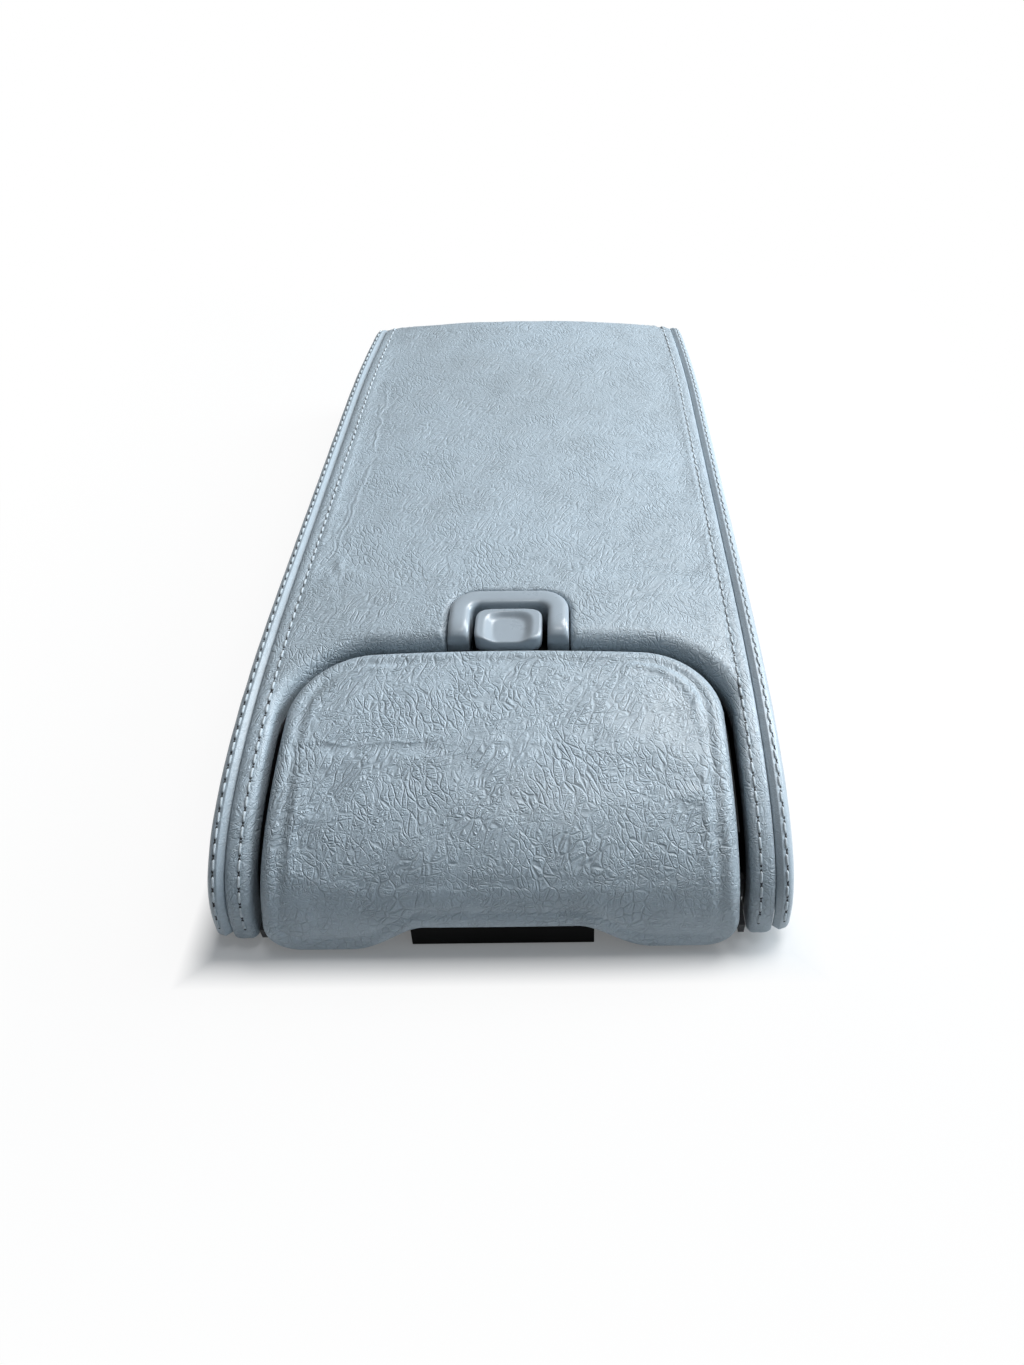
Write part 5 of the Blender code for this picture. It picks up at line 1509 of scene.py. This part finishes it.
@dataclass
class Release:
    """The U-shaped bezel and the push button inside it."""

    top_z: float = 54.7 * MM
    arch: float = 3.2 * MM
    seat_z: float = 40 * MM
    bend_run: float = 8.5 * MM
    bend_drop: float = 4.2 * MM
    half: float = 23 * MM
    rear_y: float = -72.5 * MM
    front_y: float = -98.5 * MM
    corner: float = 11 * MM
    leg: float = 8.2 * MM
    back: float = 8.5 * MM
    mouth_radius: float = 4 * MM
    button_gap: float = 2 * MM
    button_front_y: float = -101.4 * MM
    button_low: float = 1.2 * MM
    cap: float = 6 * MM
    cap_round: float = 1.3 * MM
    dish: float = 1.8 * MM
    dish_half: float = 9.4 * MM
    dish_front: float = 15 * MM
    dish_rear: float = 7.4 * MM
    dish_inset: float = 9.1 * MM
    stem_half: float = 5.5 * MM
    stem_front: float = 8 * MM
    stem_length: float = 7 * MM
    stem_low_z: float = 30.5 * MM
    travel: float = 3 * MM

    def path(self, half: float, rear: float, radius: float) -> Array:
        """U-shaped outline from the left front over the rear to the right front, as (n, 2) points.

        Args:
            half: half the width.
            rear: place of the rear.
            radius: radius of the corners.

        Returns:
            The points.
        """
        leg = np.linspace(self.front_y, rear - radius, 26, endpoint=False)
        left = np.stack([np.full_like(leg, -half), leg], axis=1)
        t = np.radians(np.linspace(180, 90, 22))
        turn = np.stack([radius - half + radius * np.cos(t), rear - radius + radius * np.sin(t)], axis=1)
        cross = np.stack([np.linspace(radius - half, 0, 9, endpoint=False)[1:], np.full(8, rear)], axis=1)
        one = np.concatenate([left, turn, cross])
        return np.concatenate([one, [(0.0, rear)], one[::-1] * (-1, 1)])

    def bezel(self, palette: Palette) -> bpy.types.Object:
        """Builds the bezel: a rounded section between an outer and an inner U, bent down at its front ends.

        Across the section the top is a flat arch with rounded shoulders. The drop at the front follows a
        quarter ellipse of the distance to the front end.

        Args:
            palette: the finishes.

        Returns:
            The new piece.
        """
        outer = self.path(self.half, self.rear_y, self.corner)
        inner = self.path(self.half - self.leg, self.rear_y - self.back, self.mouth_radius)
        angle = np.linspace(0, math.pi, 25)
        width = 0.5 - 0.5 * np.sign(np.cos(angle)) * np.abs(np.cos(angle)) ** 0.62
        rise = np.sin(angle) ** 0.62
        shares = np.concatenate([[0, 0], width, [1, 1, 0.5]])
        heights = np.concatenate([[-1, -0.5], rise, [-0.5, -1, -1]])
        section = outer[:, None] * (1 - shares[None, :, None]) + inner[:, None] * shares[None, :, None]
        ahead = np.clip((section[..., 1] - self.front_y) / self.bend_run, 0, 1)
        fall = self.bend_drop * (1 - np.sqrt(1 - (1 - ahead) ** 2))
        base = self.top_z - self.arch
        low = base - self.seat_z
        z = np.where(heights >= 0, base + self.arch * heights - fall, base + low * heights)
        z = np.where((heights < 0) & (heights > -1), np.minimum(z, base - fall - 0.5 * MM), z)
        rings = np.concatenate([section, z[..., None]], axis=-1)
        piece = clean(make_piece("bezel_trim", *closed_tube(rings)))
        dress(piece, palette.satin)
        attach(piece, Body.ARMREST.value)
        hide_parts("release_bezel")
        return piece

    def button(self, palette: Palette) -> bpy.types.Object:
        """Builds the push button: rings of rounded squares over a dished cap, then down and under it.

        The dish is a soft bowl with its own rounded outline, open to the front. The stem is a second form.

        Args:
            palette: the finishes.

        Returns:
            The new piece.
        """
        rear = self.rear_y - self.back - self.button_gap
        half = self.half - self.leg - self.button_gap
        mid_y, half_y = (self.button_front_y + rear) / 2, (rear - self.button_front_y) / 2
        top = self.top_z - self.button_low
        angles = np.linspace(0, 2 * math.pi, 96, endpoint=False)
        shares = np.concatenate([np.linspace(0.02, 0.9, 26), 0.9 + 0.1 * np.sin(np.linspace(0.1, math.pi / 2, 9))])
        edge = np.clip((shares - 0.9) / 0.1, 0, 1)
        square = rounded_square(angles, half, half_y, 5.0)
        plan = shares[:, None, None] * square[None]
        ahead = plan[..., 1] - (rear - self.dish_inset - mid_y)
        run = np.where(ahead < 0, self.dish_front, self.dish_rear)
        reach = (np.abs(plan[..., 0] / self.dish_half) ** 3 + np.abs(ahead / run) ** 3) ** (1 / 3)
        bowl = self.dish * (1 - smooth_step((reach - 0.6) / 0.44))
        z = top - bowl - (self.cap_round * (1 - np.sqrt(1 - edge**2)))[:, None]
        cap = np.concatenate([plan + (0, mid_y), z[..., None]], axis=-1)
        down = np.array([3.4, 4.7, 6.0])[:, None] * MM
        wall = np.concatenate([np.broadcast_to(square + (0, mid_y), (3, 96, 2)),
                               np.broadcast_to(top - down, (3, 96))[..., None]], axis=-1)
        points, faces = closed_tube(np.concatenate([cap, wall]))
        stem_y = self.front_y + self.stem_front + self.stem_length / 2
        corners = rounded_square(angles[::2], self.stem_half, self.stem_length / 2, 9.0)
        slope = self.travel + 0.5 * MM
        levels = np.linspace(top - self.cap + 0.2 * MM, self.stem_low_z, 9)[:, None]
        ramp = np.maximum(0, self.stem_low_z + slope - levels)
        stem_xy = np.broadcast_to(corners, (9, 48, 2)).copy()
        stem_xy[..., 1] = np.minimum(stem_xy[..., 1], self.stem_length / 2 - ramp)
        stem = np.concatenate([stem_xy + (0, stem_y), np.broadcast_to(levels, (9, 48))[..., None]], axis=-1)
        more, more_faces = closed_tube(stem)
        points, faces = np.concatenate([points, more]), np.concatenate([faces, more_faces + len(points)])
        piece = clean(make_piece("push_button", points, faces))
        dress(piece, palette.satin)
        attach(piece, Body.BUTTON.value)
        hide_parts("release_button")
        return piece


def soften(name: str, node: str, look: bpy.types.Material, body: Body, width: float) -> bpy.types.Object:
    """Stands in for a CAD node with a merged copy whose edges are rounded by a bevel.

    Args:
        name: the new piece's name.
        node: the CAD node it stands for.
        look: its material.
        body: the body it rides on.
        width: width of the bevel.

    Returns:
        The new piece.
    """
    piece = bpy.data.objects.new(name, bpy.data.objects[node].data.copy())
    bpy.context.scene.collection.objects.link(piece)
    bm = bmesh.new()
    bm.from_mesh(piece.data)
    bmesh.ops.remove_doubles(bm, verts=bm.verts, dist=1e-6)
    bmesh.ops.dissolve_limit(bm, angle_limit=math.radians(1), verts=bm.verts, edges=bm.edges)
    bm.to_mesh(piece.data)
    bm.free()
    bevel = piece.modifiers.new("edges", "BEVEL")
    bevel.width, bevel.segments = width, 4
    bevel.limit_method, bevel.angle_limit = "ANGLE", math.radians(32)
    bevel.harden_normals = True
    piece.data.polygons.foreach_set("use_smooth", np.full(len(piece.data.polygons), True))
    dress(piece, look)
    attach(piece, body.value)
    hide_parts(node)
    return piece


def dress_nodes(frame: dict, palette: Palette) -> None:
    """Gives every CAD node that stays its procedural material, by the kind of piece it is.

    Args:
        frame: the frame with its nodes.
        palette: the finishes.
    """
    kinds = {
        palette.steel: ("bolt_spring", "button_spring", "case_screw", "console_bracket", "console_hook",
                        "hinge_pin", "lid_hinge_pin", "lid_striker", "paddle_pin", "paddle_spring",
                        "striker_screw", "tray_screw"),
        palette.rubber: ("bump_stop", "lid_stop", "hinge_bush"),
        palette.felt: ("tray_mat",),
        palette.black: ("base_shell", "pad_carrier", "storage_tray", "lid_panel", "latch_housing", "latch_bolt"),
        palette.gloss: ("release_paddle",),
    }
    for name, node in frame["nodes"].items():
        for material, starts in kinds.items():
            if name.startswith(starts):
                dress(node, material)


# ---------------------------------------------------------------- stage, light and camera


@dataclass(frozen=True)
class Lamp:
    """A square area light: where it stands, its side in metres, its watts and its tint."""

    name: str
    place: tuple[float, float, float]
    size: float
    power: float
    colour: tuple[float, float, float]
    target: tuple[float, float, float] = (0.0, -0.02, 0.03)

    def build(self) -> None:
        """Adds the light and turns it towards its target."""
        data = bpy.data.lights.new(self.name, "AREA")
        data.shape, data.size, data.energy, data.color = "SQUARE", self.size, self.power, self.colour
        lamp = bpy.data.objects.new(self.name, data)
        lamp.location = self.place
        way = Vector(self.target) - Vector(self.place)
        lamp.rotation_euler = way.to_track_quat("-Z", "Y").to_euler()
        bpy.context.scene.collection.objects.link(lamp)


@dataclass
class Stage:
    """Pale floor, soft light and the camera at the photograph's viewing angle.

    focal, frame_height and centre_off are in pixels, sensor and place in millimetres, and angles in degrees.
    """

    focal: float = 915.0
    frame_height: float = 1365.0
    sensor: float = 36.0
    floor_half: float = 0.75
    footprint: tuple[float, float] = (0.094, 0.198)
    pitch: float = 44.26
    yaw: float = 0.44
    roll: float = -0.27
    place: tuple[float, float, float] = (24.0, -357.5, 278.6)
    centre_off: tuple[float, float] = (65.3, 3.1)

    def camera(self) -> None:
        """Sets the camera from its angles: ahead, right and up directions as the columns of its matrix.

        The photograph is cropped off its lens axis, so the picture's middle lies off the axis as well.
        """
        p, a, r = (math.radians(v) for v in (self.pitch, self.yaw, self.roll))
        ahead = Vector((math.sin(a) * math.cos(p), math.cos(a) * math.cos(p), -math.sin(p)))
        right = Vector((math.cos(a), -math.sin(a), 0))
        up = right.cross(ahead)
        right, up = math.cos(r) * right + math.sin(r) * up, -math.sin(r) * right + math.cos(r) * up
        data = bpy.data.cameras.new("view")
        data.lens = self.sensor * self.focal / self.frame_height
        data.sensor_width = self.sensor
        data.shift_x = -self.centre_off[0] / self.frame_height
        data.shift_y = self.centre_off[1] / self.frame_height
        data.clip_start = 0.01
        camera = bpy.data.objects.new("view", data)
        turn = Matrix((right, up, -ahead)).transposed().to_4x4()
        camera.matrix_world = Matrix.Translation(Vector(self.place) * MM) @ turn
        bpy.context.scene.collection.objects.link(camera)
        bpy.context.scene.camera = camera

    def floor(self) -> None:
        """A pale floor with the object's soft shadow, which brightens outwards into the white surroundings.

        The share of plain white grows with the distance from the object's footprint, a rectangle.
        """
        corners = self.floor_half * np.array([[-1, -1, 0], [1, -1, 0], [1, 1, 0], [-1, 1, 0]])
        floor = make_piece("floor", corners, np.array([[0, 1, 2, 3]]), smooth=False)
        material, nodes, shader, place = start_material("floor_white")
        nodes.feed(shader, {"Base Color": (0.8, 0.8, 0.8, 1), "Roughness": 0.9, "Specular IOR Level": 0.1})
        rays = nodes.add("ShaderNodeLightPath")
        seen = nodes.math("MAXIMUM", rays.outputs["Is Camera Ray"], rays.outputs["Is Glossy Ray"])
        seen = nodes.math("MAXIMUM", seen, rays.outputs["Is Transmission Ray"])
        part = nodes.add("ShaderNodeSeparateXYZ", {0: place}).outputs
        past = [nodes.minus(nodes.math("ABSOLUTE", part[k]), half) for k, half in enumerate(self.footprint)]
        far = nodes.math("MAXIMUM", *past)
        near = nodes.span(far, 0.003, 0.014, 0.15, 1.0)
        share = nodes.times(seen, nodes.times(near, nodes.span(far, 0.03, 0.2, 0.92, 1.0)))
        white = nodes.add("ShaderNodeEmission", {"Color": (1, 1, 1, 1), "Strength": 1.0})
        both = nodes.add("ShaderNodeMixShader", {0: share, 1: shader.outputs[0], 2: white.outputs[0]})
        output = next(n for n in nodes.tree.nodes if n.type == "OUTPUT_MATERIAL")
        nodes.feed(output, {"Surface": both.outputs[0]})
        dress(floor, material)

    def lights(self) -> None:
        """A broad key from the right, a light from behind and above, and a weak one overhead for the front."""
        Lamp("key", (1.4, 0.62, 0.68), 0.8, 28.5, (0.83, 0.93, 1.0)).build()
        Lamp("top", (0.68, 0.72, 1.36), 0.8, 22.5, (1.0, 0.985, 0.97)).build()
        Lamp("over", (0.05, -0.05, 1.1), 0.25, 1.3, (0.97, 0.98, 1.0), (0.0, -0.05, 0.03)).build()

    def world(self) -> None:
        """Soft surroundings: white behind the object, and to it cool from the right, dim and warm from the left."""
        world = bpy.data.worlds.new("surroundings")
        bpy.context.scene.world = world
        world.use_nodes = True
        world.node_tree.nodes.clear()
        nodes = Nodes(world.node_tree)
        rays = nodes.add("ShaderNodeLightPath")
        sky = nodes.add("ShaderNodeTexCoord").outputs["Generated"]
        way = nodes.add("ShaderNodeSeparateXYZ", {0: sky}).outputs[0]
        tint = nodes.mix(nodes.span(way, -0.7, 0.7, 0.0, 1.0), (0.12, 0.1, 0.085, 1), (0.76, 0.95, 1.1, 1))
        soft = nodes.add("ShaderNodeBackground", {"Color": tint, "Strength": 0.36})
        white = nodes.add("ShaderNodeBackground", {"Color": (1, 1, 1, 1), "Strength": 1.0})
        shaders = {0: rays.outputs["Is Camera Ray"], 1: soft.outputs[0], 2: white.outputs[0]}
        both = nodes.add("ShaderNodeMixShader", shaders)
        nodes.add("ShaderNodeOutputWorld", {"Surface": both.outputs[0]})


def build_covers(form: Form, curve: SideCurve, palette: Palette) -> None:
    """Builds the centre cover, both flanks and their rows of stitches.

    Args:
        form: the shared sizes.
        curve: the side curve.
        palette: the finishes.
    """
    centre = CentreCover(form, curve)
    x = np.linspace(-84 * MM, 84 * MM, 85)
    s = np.linspace(curve.length_at(-66 * MM), curve.length_at(176 * MM), 121)
    centre.relief = ClothRun(growth=0.006, cap=0.9 * MM, seed=7).run(curve, x, s, centre.lift)
    log.info("piece %s", centre.build(palette).name)
    end = curve.length_at(form.rear_y - form.rear_top_radius) + 14 * MM
    for side in Side:
        flank = SideCover(form, curve, side)
        log.info("piece %s", flank.build(palette).name)

        def inner_line(s: Array, sign: int = side.value) -> Array:
            """The row on the centre cover, a fixed way in from the seam."""
            half = form.seam_half(curve.at(s)[0]) - centre.stitch_inset
            return centre.point(sign * half, s)

        for place, line, seed in (("inner", inner_line, 1), ("outer", flank.stitch_point, 2)):
            row = Topstitch(f"stitches_{place}_{side.name.lower()}", line, end, seed=seed + side.value)
            log.info("piece %s", row.build(palette).name)


def main() -> None:
    """Builds the scene in order: frame, stage, covers, lid, trim and the finishes of the CAD nodes."""
    logging.basicConfig(level=logging.INFO, format="%(message)s")
    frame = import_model()
    bpy.context.scene.view_settings.view_transform = "Standard"
    stage = Stage()
    stage.camera()
    stage.floor()
    stage.lights()
    stage.world()
    palette = Palette()
    dress_nodes(frame, palette)
    form = Form()
    curve = body_curve(form)
    build_covers(form, curve, palette)
    lid = Lid(form)
    x = np.linspace(-72 * MM, 72 * MM, 73)
    s = np.linspace(24 * MM, lid.total - 6 * MM, 61)
    lid.relief = ClothRun(growth=0.01, cap=0.4 * MM, seed=11).run(lid.curve, x, s, lid.lift)
    log.info("piece %s", lid.cover(palette).name)
    release = Release()
    log.info("piece %s", release.bezel(palette).name)
    log.info("piece %s", release.button(palette).name)
    paddle = soften("paddle_lip", "release_paddle", palette.gloss, Body.PADDLE, 0.9 * MM)
    log.info("piece %s", paddle.name)


if __name__ == "__main__":
    main()
